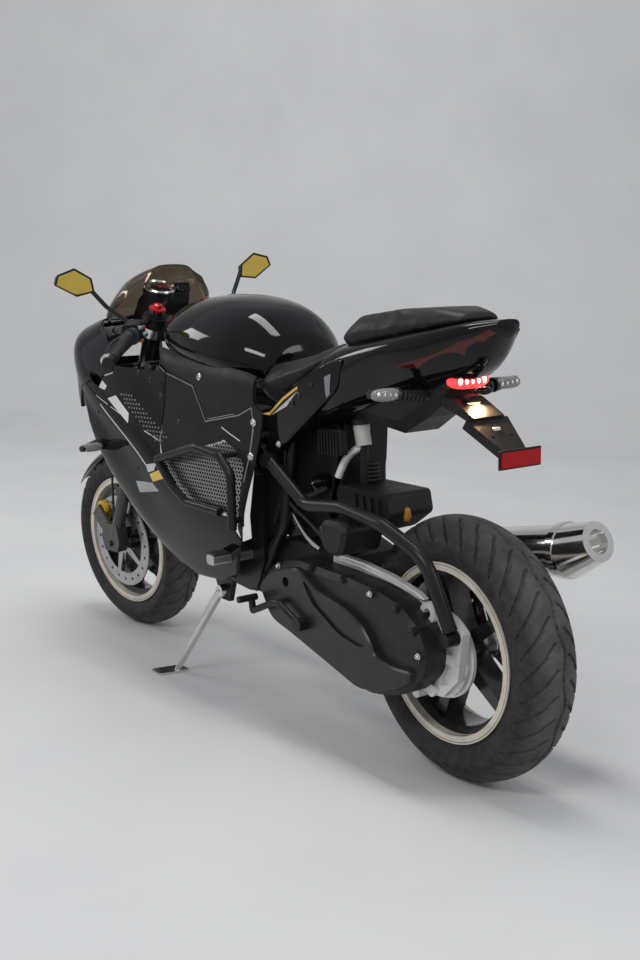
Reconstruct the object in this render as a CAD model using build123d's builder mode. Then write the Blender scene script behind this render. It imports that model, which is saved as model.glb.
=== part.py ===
"""Automatic sport bike, parked on its side stand.

Every piece is modelled upright in the bike's own frame: X forward, Y to the left, Z up,
with the rear axle above the origin and the wheels' middle plane at y = 0. The steered
pieces are then turned about the steering axis, and all pieces lean on the side stand.
All sizes are in millimetres and degrees.
"""
import os
from math import asin, cos, degrees, radians, sin, sqrt, tan
from build123d import *

os.makedirs("parts", exist_ok=True)

# ---------------------------------------------------------------- driving sizes
wheelbase = 1465.0
rake = 25.0
trail = 90.0
steer_rest = 7.3
lean = 4.0
plan_shift = (-724.96, -70.81)
running_gap = 0.05
panel_gap = 0.4
seat_gap = 0.3

rear_tyre_radius = 281.3
rear_tyre_half_width = 72.0
rear_rim_half_width = 62.0
front_tyre_radius = 267.8
front_tyre_half_width = 59.0
front_rim_half_width = 48.0
flange_radius = 191.0
tyre_crown_drop = 0.66
rim_wall = 6.0
spoke_count = 5

axle_radius = 9.0
fork_half_span = 85.0
slider_radius = 18.0
fork_tube_radius = 25.0
stem_radius = 16.0
disc_thickness = 4.0
disc_hole_radius = 4.5
front_disc_radius = 138.0
front_disc_offset = 58.0
rear_disc_radius = 110.0
rear_disc_offset = 64.0

skin = 4.0
frame_tube_radius = 14.0
strut_radius = 15.0
crash_bar_radius = 11.0
bar_radius = 11.0
grip_radius = 16.5
peg_wide = 34.0
peg_high = 24.0
peg_round = 8.0
peg_length = 110.0
peg_room = 2.0

# ---------------------------------------------------------------- places
rear_crown_drop = tyre_crown_drop * rear_tyre_half_width
rear_crown_radius = (rear_tyre_half_width ** 2 + rear_crown_drop ** 2) / (2 * rear_crown_drop)
ground_lift = rear_crown_radius * (1 - cos(radians(lean)))
steered_wheel_rise = 0.68
front_axle_height = front_tyre_radius - steered_wheel_rise
rear_axle_at = (0.0, 0.0, rear_tyre_radius)
front_axle_at = (wheelbase, 0.0, front_axle_height)
steering_foot = (wheelbase + trail, 0.0, 0.0)
steering_up = (-sin(radians(rake)), 0.0, cos(radians(rake)))
steering_plane = Plane(origin=steering_foot, x_dir=(cos(radians(rake)), 0, sin(radians(rake))), z_dir=steering_up)
axle_along = front_axle_height * cos(radians(rake)) + trail * sin(radians(rake))
axle_ahead = front_axle_height * sin(radians(rake)) - trail * cos(radians(rake))

parked = Location((plan_shift[0], plan_shift[1], ground_lift)) * Location((0, 0, 0), (-lean, 0, 0))
turned = steering_plane.location * Location((0, 0, 0), (0, 0, steer_rest)) * steering_plane.location.inverse()
steered = parked * turned


def write(piece, node, pose=parked):
    """Label a finished piece, park it with the bike and write its file."""
    placed = piece.part.moved(pose)
    placed.label = node
    export_step(placed, f"parts/{node}.step")


def along_fork(ahead, height):
    """A point in the middle plane: ahead of the steering axis, up along it from the ground."""
    point = steering_plane.from_local_coords(Vector(ahead, 0, height))
    return (point.X, point.Z)


def bent_tube(points, bends, radius):
    """A round bar along straight runs joined by arcs."""
    with BuildPart() as bar:
        with BuildLine() as path:
            FilletPolyline(*points, radius=bends)
        with BuildSketch(Plane(origin=path.line @ 0, z_dir=path.line % 0)):
            Circle(radius)
        sweep()
    return bar.part


def round_bar(start, end, radius, end_radius=None):
    """A straight round bar, tapered when a second radius is given."""
    begin = Vector(*start)
    reach = Vector(*end) - begin
    with BuildPart() as bar:
        with BuildSketch(Plane(origin=begin, z_dir=reach)):
            Circle(radius)
        if end_radius is None:
            extrude(amount=reach.length)
        else:
            with BuildSketch(Plane(origin=Vector(*end), z_dir=reach)):
                Circle(end_radius)
            loft()
    return bar.part


def side_slab(outline, y_from, y_to):
    """A flat piece: an outline of (x, z) points between two distances to the left."""
    with BuildPart() as slab:
        with BuildSketch(Plane(origin=(0, y_from, 0), x_dir=(1, 0, 0), z_dir=(0, 1, 0))):
            Polygon(*[(x, -z) for x, z in outline], align=None)
        extrude(amount=y_to - y_from)
    return slab.part


def corner_radii(ring, softness):
    """Fillet radii that use the same share of the shorter run at every corner of a closed outline."""
    radii = []
    for k, corner in enumerate(ring):
        to_last = Vector(*ring[k - 1]) - Vector(*corner)
        to_next = Vector(*ring[(k + 1) % len(ring)]) - Vector(*corner)
        half_angle = radians(to_last.get_angle(to_next) / 2)
        radii.append(softness * min(to_last.length, to_next.length) * tan(half_angle))
    return radii


def soft_slab(outline, y_from, y_to, softness=0.35):
    """A flat piece like side_slab, with every corner of its outline rounded."""
    ring = [(x, -z) for x, z in outline]
    with BuildPart() as slab:
        with BuildSketch(Plane(origin=(0, y_from, 0), x_dir=(1, 0, 0), z_dir=(0, 1, 0))):
            with BuildLine():
                FilletPolyline(*ring, radius=corner_radii(ring, softness), close=True)
            make_face()
        extrude(amount=y_to - y_from)
    return slab.part


def section_ring(edge):
    """One half's (half width, z) points, upwards, closed with their mirror image."""
    return [*edge, *[(-w, z) for w, z in reversed(edge)]]


def body_loft(sections):
    """A closed body with flat-sided cross sections; each row is x, then (half width, z) upwards."""
    with BuildPart() as body:
        for x, *edge in sections:
            with BuildSketch(Plane(origin=(x, 0, 0), x_dir=(0, 1, 0), z_dir=(1, 0, 0))):
                with BuildLine():
                    Polyline(*section_ring(edge), close=True)
                make_face()
        loft(ruled=True)
    return body.part


def both_sides(shape):
    """The shape and its mirror image on the other side of the bike."""
    return shape + mirror(shape, about=Plane.XZ)


# ---------------------------------------------------------------- wheels
def build_rim(centre, half_width, hub_half_length, bore_radius):
    """Cast wheel: flanged barrel, tapered spokes and a bored hub."""
    seat = flange_radius - 11
    well = flange_radius - 26
    outer = [(flange_radius, half_width), (flange_radius, half_width - 4), (seat, half_width - 6)]
    outer += [(seat, half_width - 22), (well, half_width - 32)]
    inner = [(well - rim_wall, half_width - 28), (seat - rim_wall, half_width - 18), (seat - rim_wall, half_width)]
    half = inner + outer
    mirrored = [(r, -y) for r, y in reversed(half)]
    with BuildPart() as rim:
        with BuildSketch(Plane(origin=centre, x_dir=(1, 0, 0), z_dir=(0, 0, 1))):
            Polygon(*half, *mirrored, align=None)
        revolve(axis=Axis(centre, (0, 1, 0)))
        with BuildSketch(Plane(origin=centre, x_dir=(1, 0, 0), z_dir=(0, -1, 0))):
            Circle(36)
        extrude(amount=hub_half_length, both=True)
        with BuildSketch(Plane(origin=centre, x_dir=(1, 0, 0), z_dir=(0, -1, 0))):
            with PolarLocations(0, spoke_count):
                Polygon((26, -19), (26, 19), (well - rim_wall / 2, 12), (well - rim_wall / 2, -12), align=None)
        extrude(amount=hub_half_length * 0.5, both=True)
        with BuildSketch(Plane(origin=centre, x_dir=(1, 0, 0), z_dir=(0, -1, 0))):
            Circle(bore_radius)
        extrude(amount=hub_half_length + 5, both=True, mode=Mode.SUBTRACT)
    return rim


def build_tyre(centre, radius, half_width, rim_half_width):
    """Round-crowned tyre: crown arc, side walls and beads that sit on the rim."""
    seat = flange_radius - 11
    wide_at = radius - tyre_crown_drop * half_width
    wall = 10.0
    bead_out = (flange_radius + 2, rim_half_width - 4.5)
    wide = (wide_at, half_width)
    bulge = ((bead_out[0] + wide_at) / 2 - 2, half_width - 2.5)
    heel = (seat + 0.5, rim_half_width - 7)
    toe = (seat + 0.5, rim_half_width - 20)
    inner_wide = (wide_at - 4, half_width - wall)
    with BuildPart() as tyre:
        with BuildSketch(Plane(origin=centre, x_dir=(1, 0, 0), z_dir=(0, 0, 1))):
            with BuildLine():
                ThreePointArc((wide[0], -wide[1]), (radius, 0), wide)
                ThreePointArc(wide, bulge, bead_out)
                Polyline(bead_out, heel, toe, (flange_radius + 4, rim_half_width - 14), inner_wide)
                ThreePointArc(inner_wide, (radius - wall, 0), (inner_wide[0], -inner_wide[1]))
                Polyline((inner_wide[0], -inner_wide[1]), (flange_radius + 4, 14 - rim_half_width),
                         (toe[0], -toe[1]), (heel[0], -heel[1]), (bead_out[0], -bead_out[1]))
                ThreePointArc((bead_out[0], -bead_out[1]), (bulge[0], -bulge[1]), (wide[0], -wide[1]))
            make_face()
        revolve(axis=Axis(centre, (0, 1, 0)))
    return tyre


def build_disc(centre, radius, band, bore, middle_y, hole_count):
    """Brake disc: a drilled ring on five arms from a bored hub."""
    with BuildPart() as disc:
        with BuildSketch(Plane(origin=(centre[0], middle_y, centre[2]), x_dir=(1, 0, 0), z_dir=(0, 1, 0))):
            Circle(radius)
            Circle(radius - band, mode=Mode.SUBTRACT)
            with PolarLocations(0, spoke_count):
                Polygon((bore + 4, -12), (bore + 4, 12), (radius - band + 2, 8), (radius - band + 2, -8), align=None)
            Circle(bore + 16)
            Circle(bore, mode=Mode.SUBTRACT)
            with PolarLocations(radius - band / 2, hole_count):
                Circle(disc_hole_radius, mode=Mode.SUBTRACT)
        extrude(amount=disc_thickness / 2, both=True)
    return disc


rear_hub_half = rear_disc_offset - disc_thickness / 2
front_hub_half = front_disc_offset - disc_thickness / 2
with BuildPart() as rear_rim:
    add(build_rim(rear_axle_at, rear_rim_half_width, rear_hub_half - 8, axle_radius - 2).part)
    with BuildSketch(Plane(origin=(0, -122, rear_tyre_radius), x_dir=(1, 0, 0), z_dir=(0, 1, 0))):
        Circle(axle_radius)
    extrude(amount=220)
write(rear_rim, "rear_rim")
write(build_tyre(rear_axle_at, rear_tyre_radius, rear_tyre_half_width, rear_rim_half_width), "rear_tyre")
front_rim = build_rim(front_axle_at, front_rim_half_width, front_hub_half, axle_radius + running_gap)
write(front_rim, "front_rim", steered)
write(build_tyre(front_axle_at, front_tyre_radius, front_tyre_half_width, front_rim_half_width), "front_tyre", steered)

with BuildPart() as rear_disc:
    add(build_disc(rear_axle_at, rear_disc_radius, 34, 20, -rear_disc_offset, 12).part)
    add(round_bar((0, 2 - rear_disc_offset, rear_tyre_radius), (0, 10 - rear_disc_offset, rear_tyre_radius), 34))
    add(round_bar((0, 0 - rear_disc_offset, rear_tyre_radius), (0, 12 - rear_disc_offset, rear_tyre_radius),
                  axle_radius + 2), mode=Mode.SUBTRACT)
write(rear_disc, "rear_disc")

with BuildPart() as front_discs:
    for side in (1, -1):
        add(build_disc(front_axle_at, front_disc_radius, 38, 22, side * front_disc_offset, 20).part)
write(front_discs, "front_discs", steered)

# ---------------------------------------------------------------- fork and steering
fork_low = axle_along
fork_side = (fork_half_span, -fork_half_span)


def fork_bar(radius, low, high, hole=0.0):
    """The same round bar on both fork legs, between two heights above the axle."""
    with BuildPart() as bars:
        for y in fork_side:
            with BuildSketch(steering_plane.offset(fork_low + low).shift_origin(
                    steering_plane.offset(fork_low + low).from_local_coords(Vector(axle_ahead, y, 0)))):
                Circle(radius)
                if hole:
                    Circle(hole, mode=Mode.SUBTRACT)
            extrude(amount=high - low)
    return bars


fork_feet = side_slab([(wheelbase + dx, front_axle_height + dz) for dx, dz in
                       [(-34, -22), (30, -22), (44, 20), (20, 62), (-40, 62), (-48, 10)]],
                      fork_half_span - 17, fork_half_span + 17)
caliper_arm = side_slab([(1470, 296), (1500, 262), (1580, 340), (1545, 372)], 72.2, 82)
with BuildPart() as fork_sliders:
    add(both_sides(caliper_arm))
    add(fork_bar(slider_radius, 20, 340).part)
    add(both_sides(fork_feet))
    with BuildSketch(Plane(origin=(wheelbase, -(fork_half_span + 24), front_axle_height), x_dir=(1, 0, 0), z_dir=(0, 1, 0))):
        Circle(axle_radius)
    extrude(amount=2 * fork_half_span + 48)
write(fork_sliders, "fork_sliders", steered)

fork_top = 758.0
with BuildPart() as fork_tubes:
    add(fork_bar(fork_tube_radius, 330, fork_top).part)
    add(fork_bar(20, fork_top, fork_top + 12).part)
    add(fork_bar(slider_radius + running_gap, 329, 340).part, mode=Mode.SUBTRACT)
write(fork_tubes, "fork_tubes", steered)


clamp_heights = (484.0, 700.0)
with BuildPart() as triple_clamps:
    for height in clamp_heights:
        with BuildSketch(steering_plane.offset(fork_low + height)):
            with Locations((axle_ahead, 0)):
                RectangleRounded(80, 2 * fork_half_span + 74, 30)
            with Locations((axle_ahead - 30, 0)):
                RectangleRounded(90, 80, 30)
            with Locations((axle_ahead, fork_half_span), (axle_ahead, -fork_half_span)):
                Circle(fork_tube_radius, mode=Mode.SUBTRACT)
        extrude(amount=26)
    with BuildSketch(steering_plane.offset(fork_low + clamp_heights[0] + 1)):
        Circle(stem_radius)
    extrude(amount=clamp_heights[1] - clamp_heights[0])
write(triple_clamps, "triple_clamps", steered)

# Front mudguard: a shallow channel round the tyre's crown, between the fork tubes.
guard_clearance = 12.0
guard_wall = 3.0
guard_half_width = 56.0
guard_arc = 122.0
guard_start = 36.0
crown_radius = 64.0
crown_centre = front_tyre_radius - crown_radius
guard_tab = along_fork(axle_ahead, fork_low + 255)
with BuildPart() as guard_arch:
    with BuildSketch(Plane(origin=front_axle_at, x_dir=(1, 0, 0), z_dir=(0, 0, 1))):
        with Locations((crown_centre, 0)):
            Circle(crown_radius + guard_clearance + guard_wall)
            Circle(crown_radius + guard_clearance, mode=Mode.SUBTRACT)
        with Locations((crown_centre + 50, 0)):
            Rectangle(100, 2 * guard_half_width, mode=Mode.INTERSECT)
    revolve(axis=Axis(front_axle_at, (0, -1, 0)), revolution_arc=guard_arc)
with BuildPart() as front_fender:
    add(guard_arch.part.rotate(Axis(front_axle_at, (0, -1, 0)), guard_start))
    for side in (1, -1):
        tab_end = (guard_tab[0], side * (fork_half_span - slider_radius - 0.2), guard_tab[1])
        add(round_bar((guard_tab[0], side * (guard_half_width - 2), guard_tab[1]), tab_end, 8))
write(front_fender, "front_fender", steered)

# Front brake calipers, one on each fork leg ahead of the slider.
with BuildPart() as front_calipers:
    with BuildSketch(Plane(origin=(0, front_disc_offset - 14, 0), x_dir=(1, 0, 0), z_dir=(0, 1, 0))):
        with Locations((wheelbase + 88, -(front_axle_height + 80))):
            SlotOverall(78, 46, rotation=50)
    extrude(amount=28)
    with BuildSketch(Plane(origin=(0, front_disc_offset - 3, 0), x_dir=(1, 0, 0), z_dir=(0, 1, 0))):
        with Locations((wheelbase, -front_axle_height)):
            Circle(front_disc_radius + 3)
    extrude(amount=6, mode=Mode.SUBTRACT)
    mirror(about=Plane.XZ)
write(front_calipers, "front_calipers", steered)

# Handlebars, grips, levers and mirrors are laid out on the left and mirrored.
grip_start = (1105.0, 200.0, 912.0)
grip_end = (1018.0, 322.0, 866.0)
mirror_root = (1134.0, 163.0, 928.0)
mirror_elbow = (1185.0, 215.0, 985.0)
mirror_mount = (1201.0, 262.0, 1048.0)

clip_on = fork_bar(fork_tube_radius + 9, 727, 753, fork_tube_radius).part
grip_vector = Vector(*grip_end) - Vector(*grip_start)
grip_plane = Plane(origin=grip_start, z_dir=grip_vector)
bar_elbow = Vector(*grip_start) - grip_vector.normalized() * 48
bar_end = Vector(*grip_end) + grip_vector.normalized() * 26
with BuildPart() as bar_left:
    add(bent_tube([(1147, 114, 937), tuple(bar_elbow), tuple(bar_end)], [24], bar_radius))
    with BuildSketch(grip_plane.offset(-42)):
        RectangleRounded(46, 50, 10)
    extrude(amount=38)
    with BuildSketch(grip_plane.offset(grip_vector.length + 2)):
        Circle(grip_radius - 1)
    extrude(amount=24)
with BuildPart() as handlebars:
    add(clip_on)
    add(both_sides(bar_left.part))
write(handlebars, "handlebars", steered)

with BuildPart() as grips:
    with BuildSketch(grip_plane):
        Circle(grip_radius)
        Circle(bar_radius, mode=Mode.SUBTRACT)
    extrude(amount=grip_vector.length)
    mirror(about=Plane.XZ)
write(grips, "grips", steered)

lever_pivot = Vector(1140, 176, 916)
lever_tip = Vector(1062, 318, 858)
with BuildPart() as levers:
    add(bent_tube([tuple(lever_pivot), (1130, 245, 893), tuple(lever_tip)], [90], 6))
    with Locations(lever_tip):
        Sphere(9)
    add(bar_left.part, mode=Mode.SUBTRACT)
    mirror(about=Plane.XZ)
write(levers, "levers", steered)

# Mirror heads: angular shells facing back, with the glass set in the rear face.
mirror_outline = [(245, 1026), (300, 1018), (362, 1052), (352, 1078), (300, 1092), (250, 1062)]
mirror_glass_outline = [(251, 1030), (300, 1023), (356, 1053), (347, 1074), (300, 1086), (256, 1060)]
mirror_face_x = 1186.0
with BuildPart() as mirror_heads:
    with BuildSketch(Plane(origin=(mirror_face_x, 0, 0), x_dir=(0, 1, 0), z_dir=(1, 0, 0))):
        Polygon(*mirror_outline, align=None)
    extrude(amount=24, taper=22)
    with BuildSketch(Plane(origin=(mirror_face_x, 0, 0), x_dir=(0, 1, 0), z_dir=(1, 0, 0))):
        Polygon(*mirror_glass_outline, align=None)
    extrude(amount=3, mode=Mode.SUBTRACT)
    add(bent_tube([mirror_root, mirror_elbow, mirror_mount], [24], 6))
    add(bar_left.part, mode=Mode.SUBTRACT)
    mirror(about=Plane.XZ)
write(mirror_heads, "mirror_heads", steered)

with BuildPart() as mirror_glass:
    with BuildSketch(Plane(origin=(mirror_face_x + 0.5, 0, 0), x_dir=(0, 1, 0), z_dir=(1, 0, 0))):
        Polygon(*mirror_glass_outline, align=None)
    extrude(amount=2.5)
    mirror(about=Plane.XZ)
write(mirror_glass, "mirror_glass", steered)

# ---------------------------------------------------------------- body forms that other pieces meet
body_rows = [
    (1550, (26, 770), (58, 800), (60, 845), (26, 868)),
    (1480, (105, 700), (156, 780), (156, 870), (80, 905)),
    (1391, (160, 640), (212, 780), (200, 880), (110, 930)),
    (1250, (190, 560), (232, 700), (216, 850), (140, 945)),
    (1050, (180, 400), (232, 600), (208, 800), (150, 895)),
    (850, (140, 285), (222, 480), (196, 700), (146, 872)),
    (600, (130, 295), (206, 450), (172, 700), (140, 846)),
    (500, (125, 330), (190, 450), (156, 700), (130, 820)),
]


def inside(row, overrun=60.0):
    """The hollow's section for one body row: in by the skin, and run on past both open edges."""
    x, (wb, zb), (ww, zw), (ws, zs), (wt, zt) = row
    low = (max(wb - skin - overrun * (ww - wb) / (zw - zb), 8), zb - overrun)
    top = (wt - skin, zt - skin) if x > 1300 else (wt - skin - overrun * (ws - wt) / (zt - zs), zt + overrun)
    return (x, low, (ww - skin, zw), (ws - skin, zs), top)


inner_rows = [inside(row) for row in body_rows]
inner_rows[0] = (body_rows[0][0] - skin,) + inner_rows[0][1:]
inner_rows[-1] = (body_rows[-1][0] - 1,) + inner_rows[-1][1:]
body_solid = body_loft(body_rows)
body_hollow = body_loft(inner_rows)
shell = body_solid - body_hollow

tank_rows = [
    (1035, (85, 872), (112, 925), (50, 965)),
    (960, (118, 850), (158, 918), (70, 984)),
    (860, (136, 838), (176, 908), (80, 992)),
    (750, (136, 822), (174, 898), (80, 988)),
    (650, (122, 806), (156, 882), (74, 962)),
    (585, (92, 808), (112, 862), (52, 915)),
    (566, (70, 815), (84, 850), (40, 884)),
]
seat_rows = [
    (606, (90, 776), (116, 798), (80, 822)),
    (541, (110, 762), (150, 800), (105, 845)),
    (468, (112, 790), (150, 826), (102, 858)),
    (387, (108, 825), (140, 850), (98, 876)),
    (300, (95, 866), (124, 885), (84, 905)),
    (268, (84, 882), (108, 894), (74, 908)),
]
tail_rows = [
    (440, (80, 700), (112, 745), (104, 832)),
    (300, (80, 752), (128, 802), (100, 896)),
    (150, (66, 800), (122, 866), (98, 924)),
    (35, (50, 828), (106, 884), (86, 944)),
    (-60, (34, 872), (72, 924), (56, 960)),
    (-118, (14, 938), (30, 952), (22, 966)),
]
tank_solid = body_loft(tank_rows)
seat_solid = body_loft(seat_rows)
tail_solid = body_loft(tail_rows)

# ---------------------------------------------------------------- frame
head_low = fork_low + clamp_heights[0] + 26 + 1
head_high = fork_low + clamp_heights[1] - 1
cradle = bent_tube([(1040, 60, 812), (960, 112, 560), (880, 112, 318), (640, 112, 300), (505, 112, 470),
                    (505, 76, 742)], [40, 40, 40, 40], frame_tube_radius)
peg_at = (625.0, 390.0)
peg_plate = [(690, 330), (690, 312), (600, 300), (560, 380), (560, 590), (585, 590), (610, 430), (660, 410)]
# Cross stays that carry the panels (x, z), and posts that carry tank and seat (x, y, z from, z to).
stay_radius = 7.0
panel_stays = [(1040, 826), (960, 556), (742, 322), (526, 690), (640, 770), (1450, 785)]
support_posts = [(680, 0, 750, 880), (900, 0, 780, 900), (505, 60, 745, 780), (505, -60, 745, 780),
                 (1290, 0, 800, 915)]
with BuildPart() as stays:
    for x, z in panel_stays:
        add(round_bar((x, -240, z), (x, 240, z), stay_radius))
    add(body_hollow, mode=Mode.INTERSECT)

with BuildPart() as main_frame:
    with BuildSketch(steering_plane.offset(head_low)):
        Circle(30)
    extrude(amount=head_high - head_low)
    add(both_sides(cradle))
    add(both_sides(round_bar((505, 76, 738), (415, 76, 789), frame_tube_radius - 3)))
    add(side_slab([(1140, 848), (1172, 790), (900, 736), (500, 728), (500, 752), (600, 756), (880, 790), (1060, 838)], -22, 22))
    add(both_sides(side_slab([(1085, 834), (1090, 796), (1020, 784), (1020, 826)], 15, 72)))
    add(both_sides(round_bar((505, 0, 742), (505, 80, 742), frame_tube_radius)))
    add(side_slab([(830, 318), (830, 296), (800, 236), (760, 236), (740, 296), (740, 318)], 102, 116))
    add(both_sides(side_slab(peg_plate, 128, 136)))
    add(both_sides(round_bar((600, 111, 350), (600, 128, 350), 14)))
    add(both_sides(round_bar((590, 88.2, 363), (590, 112, 363), 9)))
    add(stays.part)
    add(round_bar((1205, 0, 812), (1450, 0, 785), 9))
    for x, y, z_from, z_to in support_posts:
        add(round_bar((x, y, z_from), (x, y, z_to), stay_radius + 1))
    add(tank_solid, mode=Mode.SUBTRACT)
    add(seat_solid, mode=Mode.SUBTRACT)
    add(tail_solid, mode=Mode.SUBTRACT)
    with BuildSketch(steering_plane.offset(head_low - 1)):
        Circle(stem_radius + running_gap)
    extrude(amount=head_high - head_low + 2, mode=Mode.SUBTRACT)

with BuildPart() as foot_pegs:
    for side in (1, -1):
        peg_plane = Plane(origin=(peg_at[0], side * 136, peg_at[1]), x_dir=(1, 0, 0), z_dir=(0, side, 0))
        with BuildSketch(peg_plane):
            RectangleRounded(peg_wide, peg_high, peg_round)
        extrude(amount=peg_length)
write(foot_pegs, "foot_pegs")

# ---------------------------------------------------------------- engine and drive
with BuildPart() as engine_block:
    add(side_slab([(330, 300), (330, 420), (400, 440), (560, 430), (600, 400), (600, 250), (380, 235)], -88, 88))
    with BuildSketch(Plane(origin=(600, 0, 325), x_dir=(0, 1, 0), z_dir=(1, 0, 0))):
        RectangleRounded(120, 130, 14)
    extrude(amount=120)
write(engine_block, "engine_block")

case_bosses = [(452, 396), (330, 414), (214, 410), (112, 402), (32, 386), (-22, 352), (-42, 306)]
case_outline = [(535, 342), (505, 382), (450, 408), (385, 420), (214, 417), (110, 409), (30, 394), (-26, 360),
                (-52, 311), (-46, 262), (0, 214), (68, 190), (140, 178), (213, 195), (395, 240), (480, 258)]
with BuildPart() as cvt_case:
    add(soft_slab(case_outline, 99, 166))
    chamfer(cvt_case.faces().sort_by(Axis.Y)[-1].edges(), 12)
    for x, z in case_bosses:
        add(round_bar((x, 130, z), (x, 166, z), 9))
write(cvt_case, "cvt_case")

guard_outline = [(512, 342), (474, 378), (414, 400), (358, 413), (309, 388), (272, 373), (181, 359), (123, 336),
                 (93, 306), (77, 278), (24, 270), (-36, 274), (-30, 250), (10, 226), (72, 204), (140, 192),
                 (208, 210), (390, 256), (466, 272)]
recess_outline = [(340, 396), (296, 372), (190, 345), (134, 324), (106, 296), (128, 286), (200, 296), (300, 344)]
with BuildPart() as cvt_guard:
    add(soft_slab(guard_outline, 166, 184))
    chamfer(cvt_guard.faces().sort_by(Axis.Y)[-1].edges(), 4)
    add(soft_slab(recess_outline, 178, 190), mode=Mode.SUBTRACT)
    add(round_bar((400, 170, 372), (400, 190, 372), 12), mode=Mode.SUBTRACT)
write(cvt_guard, "cvt_guard")

kick_shaft = (330.0, 292.0)
with BuildPart() as kick_lever:
    add(round_bar((kick_shaft[0], 184 + seat_gap, kick_shaft[1]), (kick_shaft[0], 206, kick_shaft[1]), 16))
    add(bent_tube([(330, 198, 292), (410, 202, 328), (505, 206, 286)], [40], 8))
    add(round_bar((505, 206, 286), (511, 206, 316), 8))
    add(round_bar((511, 192, 316), (511, 242, 316), 8))
write(kick_lever, "kick_lever")

drive_pockets = [[(-30, 350), (-66, 336), (-72, 300), (-40, 296)], [(-38, 280), (-66, 276), (-56, 236), (-26, 226)]]
with BuildPart() as final_drive_case:
    add(side_slab([(330, 300), (330, 420), (180, 418), (60, 396), (-60, 376), (-98, 350), (-84, 250), (-40, 206),
                   (60, 200), (120, 240)], 78, 99))
    add(round_bar((-8, 78, 378), (-8, 114, 378), 22))
    add(round_bar((-78, 78, 340), (-78, 99.4, 340), 18))
    add(round_bar((-12, 78, 214), (-12, 108, 214), 13))
    add(round_bar((36, 78, 196), (36, 108, 196), 11))
    for pocket in drive_pockets:
        add(soft_slab(pocket, 86, 110, 0.3), mode=Mode.SUBTRACT)
    add(round_bar((-8, 90, 378), (-8, 120, 378), 10), mode=Mode.SUBTRACT)
    add(round_bar((0, 60, rear_tyre_radius), (0, 78, rear_tyre_radius), 89))
    add(round_bar((0, 56, rear_tyre_radius), (0, 64, rear_tyre_radius), 93))
    with BuildSketch(Plane(origin=(0, 50, rear_tyre_radius), x_dir=(1, 0, 0), z_dir=(0, 1, 0))):
        Circle(axle_radius + running_gap)
    extrude(amount=60, mode=Mode.SUBTRACT)
    add(cvt_case.part, mode=Mode.SUBTRACT)
write(final_drive_case, "final_drive_case")

with BuildPart() as swingarm_right:
    add(side_slab([(420, 300), (420, 400), (330, 400), (60, 330), (0, 316), (-34, 300), (-38, 262), (0, 246),
                   (60, 250), (330, 300)], -110, -92))
    add(side_slab([(420, 310), (420, 390), (345, 390), (345, 310)], -92, -88))
    with BuildSketch(Plane(origin=(0, -80, rear_tyre_radius), x_dir=(1, 0, 0), z_dir=(0, -1, 0))):
        Circle(axle_radius + running_gap)
    extrude(amount=60, mode=Mode.SUBTRACT)

with BuildPart() as rear_caliper:
    add(side_slab([(40, 330), (60, 400), (110, 395), (130, 340), (90, 300)], -92, -56))
    with BuildSketch(Plane(origin=(0, -rear_disc_offset - 4, rear_tyre_radius), x_dir=(1, 0, 0), z_dir=(0, 1, 0))):
        Circle(rear_disc_radius + 4)
    extrude(amount=8, mode=Mode.SUBTRACT)
with BuildPart() as right_side:
    add(swingarm_right.part)
    add(rear_caliper.part)
write(right_side, "swingarm_right")

strut_route = [(520, 141, 632), (372, 143, 548), (236, 147, 564), (90, 148, 548), (-30, 138, 500), (-84, 118, 358)]
strut_bends = [70, 60, 90, 90]
strut_boss_radius = strut_radius + 2
with BuildPart() as strut_left:
    add(bent_tube(strut_route, strut_bends, strut_radius))
    add(round_bar((520, 126.5, 632), (520, 156, 632), strut_boss_radius))
    add(round_bar((-78, 99.5, 340), (-78, 132, 340), 16))
write(strut_left, "strut_left")
with BuildPart() as strut_room:
    add(bent_tube(strut_route, strut_bends, strut_radius + panel_gap))
    add(round_bar((520, 126.5 - panel_gap, 632), (520, 162, 632), strut_boss_radius + panel_gap))

with BuildPart() as rear_shock:
    add(round_bar((426, 0, 441), (498, 0, 726.5), 9))
    add(round_bar((436, 0, 480), (488, 0, 690), 27))
write(rear_shock, "rear_shock")

with BuildPart() as fluid_bottle:
    add(round_bar((303, 30, 678), (310, 30, 712), 18))
    add(round_bar((310, 30, 712), (312, 30, 724), 19))
write(fluid_bottle, "fluid_bottle")

rib_places = (185, 212, 239, 266)
intake_at = (222.0, 506.0)
with BuildPart() as airbox:
    add(round_bar((365, 30, 425), (300, 30, 490), 20))
    add(engine_block.part, mode=Mode.SUBTRACT)
    add(soft_slab([(162, 592), (152, 545), (215, 502), (320, 470), (345, 592)], -42, 80, 0.2))
    for x in rib_places:
        add(side_slab([(x, 580), (x - 6, 520), (x + 2, 520), (x + 8, 580)], 80, 85))
    add(soft_slab([(intake_at[0] - 52, intake_at[1] + 22), (intake_at[0] - 20, intake_at[1] + 35),
                   (intake_at[0] + 34, intake_at[1] + 33), (intake_at[0] + 52, intake_at[1] + 6),
                   (intake_at[0] + 26, intake_at[1] - 42), (intake_at[0] - 30, intake_at[1] - 40)], 80, 186, 0.4))
    chamfer(airbox.faces().sort_by(Axis.Y)[-1].edges(), 9)
    add(round_bar((303, 30, 585), (303, 30, 678), 10))
    add(fluid_bottle.part, mode=Mode.SUBTRACT)
write(airbox, "airbox")


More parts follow.
